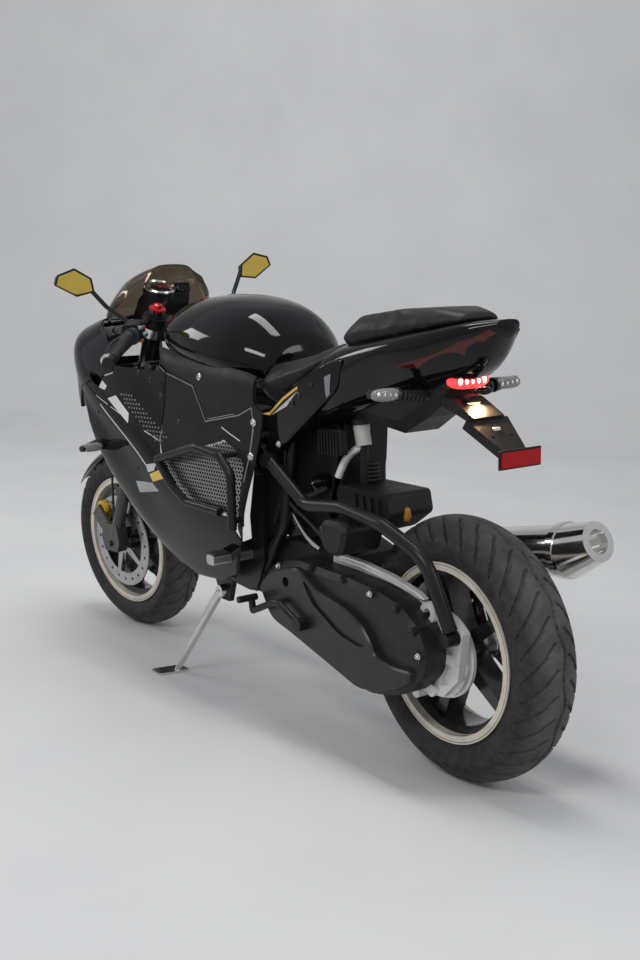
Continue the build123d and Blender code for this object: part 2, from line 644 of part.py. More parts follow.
muffler_front = Vector(335, -200, 392)
muffler_joint = Vector(-98, -205, 476)
muffler_tip = Vector(-174, -204, 508)
muffler_radius = 55.0
muffler_ring_radius = 61.0
muffler_end_radius = 43.0
muffler_shoulder = muffler_front + (muffler_joint - muffler_front) * 0.15
pipe_route = [(690, -30, 250), (690, -30, 205), (600, -120, 185), (450, -180, 260), (375, -198, 382),
              tuple(muffler_front)]
with BuildPart() as exhaust:
    add(bent_tube(pipe_route, [20, 40, 60, 25], 15))
    add(round_bar(tuple(muffler_front), tuple(muffler_shoulder), 24, muffler_radius))
    add(round_bar(tuple(muffler_shoulder), tuple(muffler_joint), muffler_radius))
    add(round_bar(tuple(muffler_joint + (muffler_front - muffler_joint) * 0.04), tuple(muffler_joint),
                  muffler_ring_radius))
    add(round_bar(tuple(muffler_joint), tuple(muffler_tip), muffler_ring_radius - 2, muffler_end_radius))
    add(round_bar(tuple(muffler_tip + (muffler_joint - muffler_tip) * 0.4),
                  tuple(muffler_tip - (muffler_joint - muffler_tip) * 0.1), 26), mode=Mode.SUBTRACT)
    add(side_slab([(290, 405), (290, 345), (330, 345), (335, 405)], -160, -110.2))
write(exhaust, "exhaust")

# ---------------------------------------------------------------- bodywork
def body_panel(outline):
    """The part of the body shell inside an outline seen from the side."""
    with BuildPart() as panel:
        with BuildSketch(Plane.XZ):
            Polygon(*outline, align=None)
        extrude(amount=300, both=True)
        add(shell, mode=Mode.INTERSECT)
    return panel


lamp_outline = [(1403, 808), (1471, 848), (1560, 848), (1560, 808)]
lamp_cut = side_slab([(1402, 807), (1471, 849), (1570, 849), (1570, 807)], -210, 210)
with BuildPart() as upper_fairing:
    add(body_panel([(1570, 720), (1570, 990), (1391, 990), (1260, 905), (1160, 862), (1150, 800), (1292, 764),
                    (1337, 752), (1360, 690), (1480, 680)]).part)
    add(lamp_cut, mode=Mode.SUBTRACT)
write(upper_fairing, "upper_fairing")

with BuildPart() as headlamps:
    add(body_panel(lamp_outline).part)
    with Locations((1500, 0, 830)):
        Box(300, 14, 200, mode=Mode.SUBTRACT)
    add(upper_fairing.part, mode=Mode.SUBTRACT)
write(headlamps, "headlamps")

side_outline = [(1334, 748), (1277, 657), (1233, 606), (1163, 531), (1080, 470), (1016, 359), (906, 296),
                (700, 312), (610, 350), (556, 440), (610, 493), (747, 497), (818, 532), (896, 600), (908, 640),
                (1235, 735), (1290, 760)]
with BuildPart() as side_fairings:
    add(body_panel(side_outline).part)
    for side in (1, -1):
        slot_plane = Plane(origin=(peg_at[0], side * 130, peg_at[1]), x_dir=(1, 0, 0), z_dir=(0, side, 0))
        with BuildSketch(slot_plane):
            RectangleRounded(peg_wide + 2 * peg_room, peg_high + 2 * peg_room, peg_round + peg_room)
        extrude(amount=peg_length + 12, mode=Mode.SUBTRACT)
write(side_fairings, "side_fairings")
inner_outline = [(1232, 737), (910, 644), (910, 818), (1006, 866), (1006, 815), (1146, 818), (1146, 798),
                 (1286, 763)]
shelf_outline = [(990, 806), (1290, 790), (1290, 795), (990, 811)]
knee_outline = [(1006, 868), (907, 819), (786, 794), (729, 711), (600, 737), (545, 761), (545, 850), (1006, 900)]
with BuildPart() as knee_panels:
    add(body_panel(knee_outline).part)
    add(tank_solid, mode=Mode.SUBTRACT)
    add(seat_solid, mode=Mode.SUBTRACT)
write(knee_panels, "knee_panels")
cover_outline = [(906, 818.6), (786, 793.6), (729, 710.6), (600, 736.6), (545, 760.6), (520, 740), (530, 600), (556, 444),
                 (566, 470), (564, 620), (602, 651), (650, 669), (693, 656), (891, 607), (906, 642)]
tail_cover_outline = [(520, 752), (468, 786), (398, 822), (300, 868), (240, 884), (264, 812), (336, 763),
                      (448, 685), (524, 634), (572, 600), (590, 612), (548, 690), (530, 742)]
with BuildPart() as tail_cover:
    add(soft_slab(tail_cover_outline, 112, 136, 0.25))
    chamfer(tail_cover.faces().sort_by(Axis.Y)[-1].edges(), 4)
    add(tail_solid, mode=Mode.SUBTRACT)
    add(seat_solid, mode=Mode.SUBTRACT)
with BuildPart() as shelf:
    add(both_sides(side_slab(shelf_outline, 140, 232)))
    add(body_hollow, mode=Mode.INTERSECT)
with BuildPart() as side_covers:
    add(body_panel(inner_outline).part)
    add(body_panel(cover_outline).part)
    add(both_sides(tail_cover.part))
    add(shelf.part)
    add(strut_room.part, mode=Mode.SUBTRACT)
write(side_covers, "side_covers")
main_frame.part = main_frame.part - side_covers.part
write(main_frame, "main_frame")
mesh_outline = [(900, 606), (693, 660), (650, 673), (600, 656), (560, 624), (562, 470), (552, 440), (610, 488),
                (747, 492), (822, 528)]
with BuildPart() as side_grilles:
    add(body_panel(mesh_outline).part)
    add(side_covers.part, mode=Mode.SUBTRACT)
    add(side_fairings.part, mode=Mode.SUBTRACT)
write(side_grilles, "side_grilles")

crash_loop = [(885, 238, 600), (693, 236, 652), (600, 226, 640), (560, 222, 600), (560, 222, 470)]
crash_low = [(885, 238, 600), (814, 240, 545), (747, 236, 510), (611, 224, 505)]
with BuildPart() as crash_bars:
    add(both_sides(round_bar((600, 228, 640), (600, 150, 640), 7)))
    add(both_sides(round_bar((566, 222, 490), (566, 160, 490), 7)))
    add(both_sides(round_bar((860, 238, 606), (860, 190, 606), 7)))
    add(both_sides(bent_tube(crash_loop, [30, 30, 20], crash_bar_radius)))
    add(both_sides(bent_tube(crash_low, [30, 30], crash_bar_radius - 1)))
    add(body_solid, mode=Mode.SUBTRACT)
write(crash_bars, "crash_bars")

with BuildPart() as tank:
    add(tank_solid)
write(tank, "tank")

with BuildPart() as tank_cap:
    add(round_bar((861, 0, 975), (861, 0, 999), 38))
    add(round_bar((861, 0, 985), (861, 0, 1003), 24))
    add(tank_solid, mode=Mode.SUBTRACT)
write(tank_cap, "tank_cap")

with BuildPart() as rider_seat:
    add(seat_solid)
    add(tank_solid, mode=Mode.SUBTRACT)
write(rider_seat, "rider_seat")

pad_rows = [
    (292, (88, 896), (104, 918), (70, 944)),
    (240, (100, 896), (116, 930), (84, 964)),
    (120, (92, 904), (108, 946), (80, 980)),
    (20, (76, 920), (90, 958), (62, 984)),
    (-50, (40, 944), (52, 964), (34, 976)),
]
with BuildPart() as passenger_seat:
    add(body_loft(pad_rows))
    add(tail_solid, mode=Mode.SUBTRACT)
    add(seat_solid, mode=Mode.SUBTRACT)
write(passenger_seat, "passenger_seat")

with BuildPart() as tail_fairing:
    add(tail_solid)
    add(seat_solid, mode=Mode.SUBTRACT)
write(tail_fairing, "tail_fairing")

under_rows = [
    (330, (46, 742), (60, 758), (62, 790)),
    (230, (50, 736), (68, 760), (70, 810)),
    (140, (46, 724), (66, 752), (72, 840)),
    (70, (38, 764), (54, 792), (64, 866)),
    (14, (30, 806), (42, 818), (48, 866)),
]
with BuildPart() as undertail:
    add(body_loft(under_rows))
    add(tail_solid, mode=Mode.SUBTRACT)

lens_lift = 4.0
lens_rows = [(x, *[(w + lens_lift, z - lens_lift) for w, z in edge[:2]], (edge[2][0] + lens_lift, edge[2][1]))
             for x, *edge in tail_rows]
with BuildPart() as tail_lens:
    add(body_loft(lens_rows))
    add(side_slab([(84, 872), (-104, 952), (-116, 944), (-60, 896), (30, 846)], -150, 150), mode=Mode.INTERSECT)
    add(tail_solid, mode=Mode.SUBTRACT)
    add(undertail.part, mode=Mode.SUBTRACT)


with BuildPart() as brake_lamp:
    with BuildSketch(Plane(origin=(26, 0, 851), x_dir=(0, 1, 0), z_dir=(-1, 0, 0.1))):
        Ellipse(36, 19)
    extrude(amount=34)
    add(undertail.part, mode=Mode.SUBTRACT)
    add(tail_solid, mode=Mode.SUBTRACT)
    add(tail_lens.part, mode=Mode.SUBTRACT)
with BuildPart() as tail_lamps:
    add(tail_lens.part)
    add(brake_lamp.part)
write(tail_lamps, "tail_lamps")

# The number plate's bracket: an arm down from the undertail to a flat plate with two holes.
plate_thickness = 6.0
plate_top_half = 56.0
plate_low_half = 27.0
plate_flange = 14.0
plate_wall = 4.0
plate_hole_radius = 3.3
plate_hole_span = 50.0
plate_start = Vector(-60, 0, 770)
plate_end = Vector(-150, 0, 708)
plate_out = Vector(plate_end.Z - plate_start.Z, 0, plate_start.X - plate_end.X).normalized()
plate_reach = plate_end - plate_start
plate_plane = Plane(origin=plate_start, x_dir=(0, 1, 0), z_dir=-plate_out)
bracket_neck = [(30, 812), (-4, 806), (-66, 774), (-60, 762), (0, 782), (30, 790)]


def bracket_outline(inset):
    """The bracket's tapered outline in its own plane, drawn in from every edge."""
    top, low, length = plate_top_half - inset, plate_low_half - inset, plate_reach.length
    return [(-top, inset), (top, inset), (low, length - inset), (-low, length - inset)]


plate_hole_at = (plate_start + plate_end) / 2 - plate_out * (plate_thickness / 2)
along_plate = 1 if plate_plane.to_local_coords(plate_end).Y > 0 else -1
with BuildPart() as undertail_all:
    add(undertail.part)
    add(side_slab(bracket_neck, -42, 42))
    with BuildSketch(plate_plane):
        Polygon(*[(y, along_plate * run) for y, run in bracket_outline(0)], align=None)
    extrude(amount=plate_thickness)
    with BuildSketch(plate_plane):
        Polygon(*[(y, along_plate * run) for y, run in bracket_outline(0)], align=None)
        Polygon(*[(y, along_plate * run) for y, run in bracket_outline(plate_wall)], align=None, mode=Mode.SUBTRACT)
    extrude(amount=plate_thickness + plate_flange)
    for side in (1, -1):
        hole_middle = plate_hole_at + Vector(0, side * plate_hole_span / 2, 0)
        add(round_bar(tuple(hole_middle - plate_out * 20), tuple(hole_middle + plate_out * 20), plate_hole_radius),
            mode=Mode.SUBTRACT)
write(undertail_all, "undertail")

with BuildPart() as rear_reflector:
    add(side_slab([(-150.5, 716), (-150.5, 686), (-158, 686), (-158, 716)], -52, 52))
write(rear_reflector, "rear_reflector")

with BuildPart() as rear_signals:
    for side in (1, -1):
        add(round_bar((60, side * 40, 806), (62, side * 130, 818), 9))
        add(round_bar((62, side * 130, 818), (64, side * 200, 824), 16, 9))
    add(undertail_all.part, mode=Mode.SUBTRACT)


with BuildPart() as front_signals:
    for side in (1, -1):
        add(round_bar((1222, side * 200, 608), (1205, side * 240, 604), 9))
        add(round_bar((1205, side * 240, 604), (1185, side * 305, 598), 16, 8))
    add(body_solid, mode=Mode.SUBTRACT)
with BuildPart() as turn_signals:
    add(rear_signals.part)
    add(front_signals.part)
write(turn_signals, "turn_signals")

screen_rows = [
    (1430, (84, 914), (60, 950), (20, 962)),
    (1330, (126, 928), (98, 1008), (36, 1034)),
    (1250, (128, 972), (110, 1034), (42, 1065)),
    (1198, (88, 1034), (66, 1062), (36, 1078)),
]
screen_inner = [(x, (wb - 3, zb - 40), (wm - 3, zm - 2), (wt, zt - 3)) for x, (wb, zb), (wm, zm), (wt, zt)
                in screen_rows]
with BuildPart() as windscreen:
    add(body_loft(screen_rows) - body_loft(screen_inner))
    add(upper_fairing.part, mode=Mode.SUBTRACT)
write(windscreen, "windscreen")

with BuildPart() as instrument_pod:
    add(side_slab([(1218, 975), (1212, 1002), (1240, 1012), (1290, 985), (1330, 930), (1300, 900), (1240, 940)],
                  -60, 60))
    with BuildSketch(Plane(origin=(1238, 18, 1000), x_dir=(0, 1, 0), z_dir=(-0.4, 0, 1))):
        Circle(38)
    extrude(amount=18)
    add(main_frame.part, mode=Mode.SUBTRACT)
write(instrument_pod, "instrument_pod")

# ---------------------------------------------------------------- side stand
floor_up = Vector(0, -sin(radians(lean)), cos(radians(lean)))
stand_pivot = Vector(780, 124, 262)
stand_foot = Vector(952, 168, 168 * tan(radians(lean)) - ground_lift / cos(radians(lean)))
with BuildPart() as side_stand:
    add(round_bar((780, 116.3, 262), (780, 134, 262), 16))
    add(round_bar(tuple(stand_pivot + Vector(0, 2, 0)), tuple(stand_foot + Vector(0, 0, 5)), 10, 8))
    with BuildSketch(Plane(origin=stand_foot, x_dir=(1, 0, 0), z_dir=floor_up)):
        with Locations((8, 18)):
            RectangleRounded(52, 92, 12)
    extrude(amount=6)
write(side_stand, "side_stand")
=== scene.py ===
"""Looks of the parked sport bike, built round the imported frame. Metres; X forward, Y left, Z up."""
import bmesh
import bpy
from math import asin, cos, pi, radians, sin, sqrt
from mathutils import Matrix, Vector
from mathutils.bvhtree import BVHTree


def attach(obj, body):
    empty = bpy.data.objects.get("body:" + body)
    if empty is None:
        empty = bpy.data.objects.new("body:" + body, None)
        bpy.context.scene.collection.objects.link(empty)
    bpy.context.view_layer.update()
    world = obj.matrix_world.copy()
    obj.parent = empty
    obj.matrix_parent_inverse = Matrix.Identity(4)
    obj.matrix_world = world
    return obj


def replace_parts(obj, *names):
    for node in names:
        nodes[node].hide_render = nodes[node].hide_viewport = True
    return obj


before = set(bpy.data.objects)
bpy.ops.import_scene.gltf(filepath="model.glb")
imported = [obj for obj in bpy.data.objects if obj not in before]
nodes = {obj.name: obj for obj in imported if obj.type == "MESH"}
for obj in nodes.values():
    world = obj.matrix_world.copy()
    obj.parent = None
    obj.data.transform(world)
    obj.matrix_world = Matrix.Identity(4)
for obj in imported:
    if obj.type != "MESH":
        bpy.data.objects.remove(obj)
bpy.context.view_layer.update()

# ---------------------------------------------------------------- driving values, as in the frame's record
WHEELBASE = 1.465
RAKE = radians(25.0)
TRAIL = 0.090
STEER_REST = radians(7.3)
LEAN = radians(4.0)
PLAN_SHIFT = (-0.72496, -0.07081, 0.000191)
CROWN_DROP = 0.66
FLANGE_R = 0.191
WHEELS = {  # axle, tyre radius, tyre half width, rim half width, tread blocks
    "rear": ((0, 0, 0.2813), 0.2813, 0.072, 0.062, 34),
    "front": ((WHEELBASE, 0, 0.26712), 0.2678, 0.059, 0.048, 32),
}

PARKED = Matrix.Translation(PLAN_SHIFT) @ Matrix.Rotation(-LEAN, 4, 'X')
STEER_FOOT = Vector((WHEELBASE + TRAIL, 0, 0))
STEER_AXIS = Vector((-sin(RAKE), 0, cos(RAKE)))
STEERED = (PARKED @ Matrix.Translation(STEER_FOOT) @ Matrix.Rotation(STEER_REST, 4, STEER_AXIS)
           @ Matrix.Translation(-STEER_FOOT))
POSE_OF = {"chassis": PARKED, "rear_wheel": PARKED, "side_stand": PARKED, "steering": STEERED, "front_wheel": STEERED}
SIDES = ((1, "left"), (-1, "right"))


def bike(x, y, z, body="chassis"):
    """A point given in millimetres on the upright bike, as a place in the frame."""
    return POSE_OF[body] @ Vector((x / 1000, y / 1000, z / 1000))


def to_bike(place, body="chassis"):
    """A place in the frame, as millimetres on the upright bike."""
    return POSE_OF[body].inverted() @ place * 1000


def link(obj):
    bpy.context.scene.collection.objects.link(obj)
    return obj


# ---------------------------------------------------------------- camera and lights
def make_camera():
    """A camera that stands where the photograph was taken from, with its lens."""
    place = Vector((-2.5926, 1.6997, 0.9720))
    yaw, pitch, roll = radians(-35.986), radians(-7.835), radians(2.166)
    ahead = Vector((cos(yaw) * cos(pitch), sin(yaw) * cos(pitch), sin(pitch)))
    right = ahead.cross(Vector((0, 0, 1))).normalized()
    up = right.cross(ahead)
    across = right * cos(roll) + up * sin(roll)
    upward = up * cos(roll) - right * sin(roll)
    data = bpy.data.cameras.new("camera")
    data.sensor_fit = 'VERTICAL'
    data.sensor_height = 36
    data.lens = 46.717
    data.clip_end = 50
    camera = link(bpy.data.objects.new("camera", data))
    turn = Matrix((across, upward, -ahead)).transposed().to_4x4()
    camera.matrix_world = Matrix.Translation(place) @ turn
    bpy.context.scene.camera = camera


def area_light(name, place, target, size, power, colour=(1, 1, 1)):
    """A soft panel of light aimed at a point."""
    data = bpy.data.lights.new(name, 'AREA')
    data.shape = 'RECTANGLE'
    data.size, data.size_y = size
    data.energy = power
    data.color = colour
    lamp = link(bpy.data.objects.new(name, data))
    aim = Vector(target) - Vector(place)
    lamp.matrix_world = Matrix.Translation(place) @ aim.to_track_quat('-Z', 'Y').to_matrix().to_4x4()


# ---------------------------------------------------------------- node materials
class Graph:
    """Short calls for building one material's nodes."""

    def __init__(self, name):
        self.material = bpy.data.materials.new(name)
        self.material.use_nodes = True
        self.tree = self.material.node_tree
        self.shader = self.tree.nodes["Principled BSDF"]
        self.place = self.node("ShaderNodeTexCoord").outputs["Object"]

    def node(self, kind, **settings):
        made = self.tree.nodes.new(kind)
        for key, value in settings.items():
            setattr(made, key, value)
        return made

    def join(self, source, target):
        self.tree.links.new(source, target)

    def noise(self, scale, detail=3.0, rough=0.55, stretch=None):
        made = self.node("ShaderNodeTexNoise")
        made.inputs["Scale"].default_value = scale
        made.inputs["Detail"].default_value = detail
        made.inputs["Roughness"].default_value = rough
        source = self.place
        if stretch:
            scaled = self.node("ShaderNodeMapping")
            scaled.inputs["Scale"].default_value = stretch
            self.join(source, scaled.inputs["Vector"])
            source = scaled.outputs["Vector"]
        self.join(source, made.inputs["Vector"])
        return made.outputs["Fac"]

    def span(self, value, low, high, to_low, to_high):
        made = self.node("ShaderNodeMapRange")
        for key, number in (("From Min", low), ("From Max", high), ("To Min", to_low), ("To Max", to_high)):
            made.inputs[key].default_value = number
        self.join(value, made.inputs["Value"])
        return made.outputs["Result"]

    def math(self, operation, a, b=None):
        made = self.node("ShaderNodeMath", operation=operation)
        for socket, value in zip(made.inputs, (a, b)):
            if value is None:
                continue
            if isinstance(value, (int, float)):
                socket.default_value = value
            else:
                self.join(value, socket)
        return made.outputs[0]

    def mix(self, factor, first, second):
        made = self.node("ShaderNodeMix", data_type='RGBA')
        self.join(factor, made.inputs["Factor"])
        for socket, colour in ((made.inputs[6], first), (made.inputs[7], second)):
            if hasattr(colour, "is_linked"):
                self.join(colour, socket)
            else:
                socket.default_value = (*colour, 1)
        return made.outputs[2]

    def bump(self, height, depth):
        made = self.node("ShaderNodeBump")
        made.inputs["Strength"].default_value = 1.0
        made.inputs["Distance"].default_value = depth
        self.join(height, made.inputs["Height"])
        return made.outputs["Normal"]

    def set(self, **values):
        names = {"metal": "Metallic", "coat": "Coat Weight", "coat_rough": "Coat Roughness", "ior": "IOR",
                 "specular": "Specular IOR Level", "clear": "Transmission Weight", "glow": "Emission Strength"}
        for key, value in values.items():
            self.shader.inputs[names[key]].default_value = value


def finish(name, colour, shade, rough, spread, grain, grain_depth, metal=0.0, coat=0.0, coat_rough=0.05,
           specular=0.5, stretch=None, grime=None):
    """A finish whose colour drifts between two tones, with its own grain and uneven gloss."""
    g = Graph(name)
    drift = g.span(g.noise(9.0, 5.0, 0.6), 0.38, 0.62, 0.0, 1.0)
    tone = g.mix(drift, colour, shade)
    if grime:
        dust = g.span(g.noise(38.0, 6.0, 0.7), 0.56, 0.74, 0.0, 0.55)
        tone = g.mix(dust, tone, grime)
    g.join(tone, g.shader.inputs["Base Color"])
    g.join(g.span(g.noise(27.0, 4.0, 0.65), 0.3, 0.7, rough - spread, rough + spread), g.shader.inputs["Roughness"])
    g.join(g.bump(g.noise(grain, 2.0, 0.5, stretch), grain_depth), g.shader.inputs["Normal"])
    g.set(metal=metal, coat=coat, coat_rough=coat_rough, specular=specular)
    return g.material


def glass(name, colour, rough, clear=1.0, glow=None):
    """Clear or tinted plastic, with faint moulding waves."""
    g = Graph(name)
    g.shader.inputs["Base Color"].default_value = (*colour, 1)
    g.join(g.span(g.noise(30.0), 0.3, 0.7, rough, rough + 0.03), g.shader.inputs["Roughness"])
    g.join(g.bump(g.noise(14.0, 2.0), 0.0002), g.shader.inputs["Normal"])
    g.set(clear=clear, ior=1.45)
    if glow:
        g.shader.inputs["Emission Color"].default_value = (*glow[0], 1)
        g.set(glow=glow[1])
    return g.material


# ---------------------------------------------------------------- finishes
FINISHES = {
    "gloss_black": finish("gloss_black_paint", (0.003, 0.003, 0.0035), (0.005, 0.005, 0.0055), 0.06, 0.025, 45,
                          0.00002, coat=0.06, coat_rough=0.02, specular=0.24),
    "satin_black": finish("satin_black_paint", (0.0077, 0.0077, 0.0083), (0.0110, 0.0110, 0.0116), 0.34, 0.05, 2400,
                          0.00002, specular=0.25, grime=(0.020, 0.019, 0.018)),
    "matte_black": finish("matte_black_plastic", (0.0090, 0.0090, 0.0095), (0.0135, 0.0135, 0.0140), 0.50, 0.06, 1600,
                          0.00008, specular=0.25, grime=(0.022, 0.021, 0.020)),
    "seat_vinyl": finish("seat_vinyl", (0.0066, 0.0066, 0.0072), (0.0096, 0.0096, 0.0102), 0.46, 0.05, 1300, 0.00020,
                         specular=0.3),
    "tyre": finish("tyre_rubber", (0.030, 0.030, 0.031), (0.050, 0.049, 0.048), 0.72, 0.07, 700, 0.00015,
                   grime=(0.10, 0.095, 0.088)),
    "wheel_black": finish("wheel_black_paint", (0.0060, 0.0060, 0.0066), (0.0096, 0.0096, 0.0096), 0.24, 0.05, 500,
                          0.00004, coat=0.4, grime=(0.05, 0.047, 0.042)),
    "disc_steel": finish("disc_steel", (0.34, 0.34, 0.35), (0.44, 0.44, 0.45), 0.26, 0.06, 260, 0.00005, metal=1.0),
    "frame_black": finish("frame_black_paint", (0.0066, 0.0066, 0.0072), (0.0099, 0.0099, 0.0105), 0.36, 0.05, 700,
                          0.00006, specular=0.3, grime=(0.022, 0.021, 0.020)),
    "case_black": finish("case_black_paint", (0.0110, 0.0110, 0.0115), (0.0170, 0.0170, 0.0175), 0.46, 0.07, 420,
                         0.00014, specular=0.3, grime=(0.030, 0.029, 0.027)),
    "cast_silver": finish("cast_aluminium", (0.80, 0.80, 0.80), (0.68, 0.68, 0.68), 0.40, 0.08, 520, 0.00022,
                          metal=0.35, grime=(0.40, 0.39, 0.37)),
    "machined_silver": finish("machined_aluminium", (0.62, 0.62, 0.63), (0.70, 0.70, 0.70), 0.24, 0.06, 300, 0.00004,
                              metal=1.0, stretch=(1, 30, 1)),
    "slider_grey": finish("slider_grey_paint", (0.050, 0.048, 0.046), (0.066, 0.063, 0.060), 0.30, 0.06, 400, 0.00004,
                          metal=0.55, coat=0.3),
    "fork_black": finish("fork_black_tube", (0.015, 0.014, 0.014), (0.022, 0.021, 0.021), 0.22, 0.05, 300, 0.00003,
                         metal=0.3, coat=0.3),
    "exhaust_steel": finish("exhaust_steel", (0.80, 0.79, 0.77), (0.72, 0.71, 0.69), 0.12, 0.04, 240, 0.00002,
                            metal=1.0, stretch=(1, 1, 12)),
    "bright_steel": finish("bright_steel", (0.70, 0.70, 0.70), (0.58, 0.58, 0.58), 0.20, 0.07, 300, 0.00004, metal=1.0),
    "caliper_yellow": finish("caliper_yellow_paint", (0.72, 0.44, 0.02), (0.62, 0.37, 0.02), 0.30, 0.05, 500, 0.00006,
                             coat=0.4),
    "grip_rubber": finish("grip_rubber", (0.0098, 0.0098, 0.0105), (0.0140, 0.0140, 0.0147), 0.60, 0.06, 900, 0.00020),
    "mirror_gold": finish("mirror_golden_glass", (0.86, 0.62, 0.14), (0.80, 0.57, 0.12), 0.045, 0.01, 20, 0.00001,
                          metal=1.0),
    "screen_smoke": glass("screen_smoke", (0.22, 0.17, 0.12), 0.02, 0.85),
    "lamp_clear": glass("lamp_clear", (0.9, 0.9, 0.9), 0.03, 1.0),
    "lamp_red": glass("lamp_red", (0.085, 0.004, 0.004), 0.06, 0.25),
    "reflector_red": glass("reflector_red", (0.40, 0.004, 0.006), 0.08, 0.1),
    "signal_body": finish("signal_body", (0.0080, 0.0080, 0.0085), (0.0120, 0.0120, 0.0125), 0.42, 0.05, 1200, 0.00006),
    "cap_blue": finish("cap_blue_grey", (0.22, 0.29, 0.36), (0.27, 0.34, 0.40), 0.30, 0.06, 500, 0.00005, metal=0.7),
    "bottle_white": finish("bottle_white_plastic", (0.60, 0.60, 0.57), (0.50, 0.50, 0.47), 0.40, 0.06, 300, 0.00010,
                           grime=(0.34, 0.32, 0.28)),
    "grille_steel": finish("grille_steel", (0.45, 0.45, 0.45), (0.36, 0.36, 0.36), 0.34, 0.06, 900, 0.00005, metal=1.0),
    "guard_black": finish("guard_black", (0.010, 0.010, 0.0105), (0.016, 0.016, 0.016), 0.33, 0.05, 1600, 0.00003,
                          specular=0.4, grime=(0.020, 0.019, 0.018)),
    # Near-black for the sheet of painted shade seen through the side grilles.
    "painted_shade_black": finish("painted_shade_black", (0.003, 0.003, 0.003), (0.005, 0.005, 0.005), 0.75, 0.05, 300, 0.0001),
    # edge_grey: flat grey for the painted highlight lines along the knee panel's edges, and for the vent dots and the
    # tail mark.
    "edge_grey": finish("edge_grey", (0.20, 0.20, 0.21), (0.15, 0.15, 0.16), 0.30, 0.06, 500, 0.00004),
    "bolt_dark": finish("bolt_dark", (0.05, 0.05, 0.052), (0.08, 0.08, 0.08), 0.32, 0.08, 500, 0.0001, metal=0.8),
    "lamp_lit": glass("lamp_lit", (0.60, 0.02, 0.02), 0.06, 0.2, glow=((1.0, 0.03, 0.03), 3.0)),
    "led_white": glass("led_white", (1.0, 0.70, 0.66), 0.2, 0.0, glow=((1.0, 0.42, 0.38), 9.0)),
    "lamp_warm": glass("lamp_warm", (1.0, 0.80, 0.55), 0.2, 0.0, glow=((1.0, 0.62, 0.30), 2.5)),
    "signal_lens": glass("signal_lens", (0.85, 0.86, 0.86), 0.05, 0.75),
    "led_off": finish("led_off", (0.75, 0.75, 0.72), (0.65, 0.65, 0.62), 0.15, 0.05, 300, 0.00002, metal=0.9),
    "button_blue": finish("button_blue", (0.22, 0.42, 0.46), (0.18, 0.36, 0.40), 0.4, 0.05, 800, 0.00004),
    "button_red": finish("button_red", (0.50, 0.02, 0.02), (0.42, 0.02, 0.02), 0.35, 0.05, 800, 0.00004),
    "button_orange": finish("button_orange", (0.55, 0.14, 0.02), (0.48, 0.12, 0.02), 0.4, 0.05, 800, 0.00004),
    "cap_red": finish("cap_red", (0.52, 0.01, 0.015), (0.44, 0.01, 0.012), 0.20, 0.05, 300, 0.00003, metal=0.6,
                      coat=0.4),
    "dial_face": finish("dial_face", (0.010, 0.010, 0.011), (0.015, 0.015, 0.016), 0.55, 0.05, 300, 0.00002,
                        specular=0.15),
    "amber_plastic": finish("amber_plastic", (0.45, 0.20, 0.02), (0.38, 0.16, 0.02), 0.25, 0.05, 300, 0.00003),
    "peg_alloy": finish("peg_alloy", (0.50, 0.50, 0.50), (0.42, 0.42, 0.42), 0.36, 0.07, 700, 0.00010, metal=0.9),
}
# mark_silver serves the printed lines and also the crease's painted highlight.
for kind, colour, shade in (("mark_white", (0.72, 0.72, 0.72), (0.64, 0.64, 0.64)),
                            ("mark_silver", (0.50, 0.51, 0.52), (0.42, 0.43, 0.44)),
                            ("mark_gold", (0.70, 0.46, 0.06), (0.62, 0.40, 0.05)),
                            ("mark_dots", (0.34, 0.35, 0.36), (0.22, 0.23, 0.24))):
    FINISHES[kind] = finish(kind, colour, shade, 0.25, 0.05, 300, 0.00002, coat=0.5)


# ---------------------------------------------------------------- mesh helpers
def shade_smooth(data):
    data.polygons.foreach_set("use_smooth", [True] * len(data.polygons))


def smooth_by_angle(obj, degrees=35.0):
    """Smooth shading, except across edges sharper than the angle."""
    shade_smooth(obj.data)
    obj.data.set_sharp_from_angle(angle=radians(degrees))


def mesh_object(name, verts, faces):
    data = bpy.data.meshes.new(name)
    data.from_pydata([tuple(v) for v in verts], [], faces)
    data.validate()
    data.update()
    shade_smooth(data)
    return link(bpy.data.objects.new(name, data))


def object_from(made, name):
    """An object with the faces of a bmesh, which is freed."""
    data = bpy.data.meshes.new(name)
    made.to_mesh(data)
    made.free()
    return link(bpy.data.objects.new(name, data))


def evaluated_mesh(obj):
    """A new mesh: the object's shape with its modifiers or its curve's thickness applied."""
    return bpy.data.meshes.new_from_object(obj.evaluated_get(bpy.context.evaluated_depsgraph_get()))


def apply_modifiers(obj):
    data = evaluated_mesh(obj)
    obj.modifiers.clear()
    obj.data = data
    return obj


def face_outwards(obj, weld=None):
    """Turns every face outwards, after welding close points and closing holes where weld is a distance."""
    made = bmesh.new()
    made.from_mesh(obj.data)
    if weld:
        bmesh.ops.remove_doubles(made, verts=made.verts, dist=weld)
        bmesh.ops.holes_fill(made, edges=[e for e in made.edges if e.is_boundary], sides=0)
    bmesh.ops.recalc_face_normals(made, faces=made.faces)
    made.to_mesh(obj.data)
    made.free()
    return obj


def ring_faces(turns, count, closed):
    """Quads between copies of a profile of count points, set at even turns round an axis."""
    faces = []
    for k in range(turns):
        after = (k + 1) % turns
        for j in range(count if closed else count - 1):
            then = (j + 1) % count
            faces.append((k * count + j, after * count + j, after * count + then, k * count + then))
    return faces


def wear(obj, finish_name, body="chassis"):
    """Gives a finished piece its material and the body that it rides on."""
    if not obj.data.materials:
        obj.data.materials.append(None)
    obj.data.materials[0] = FINISHES[finish_name]
    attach(obj, body)
    return obj


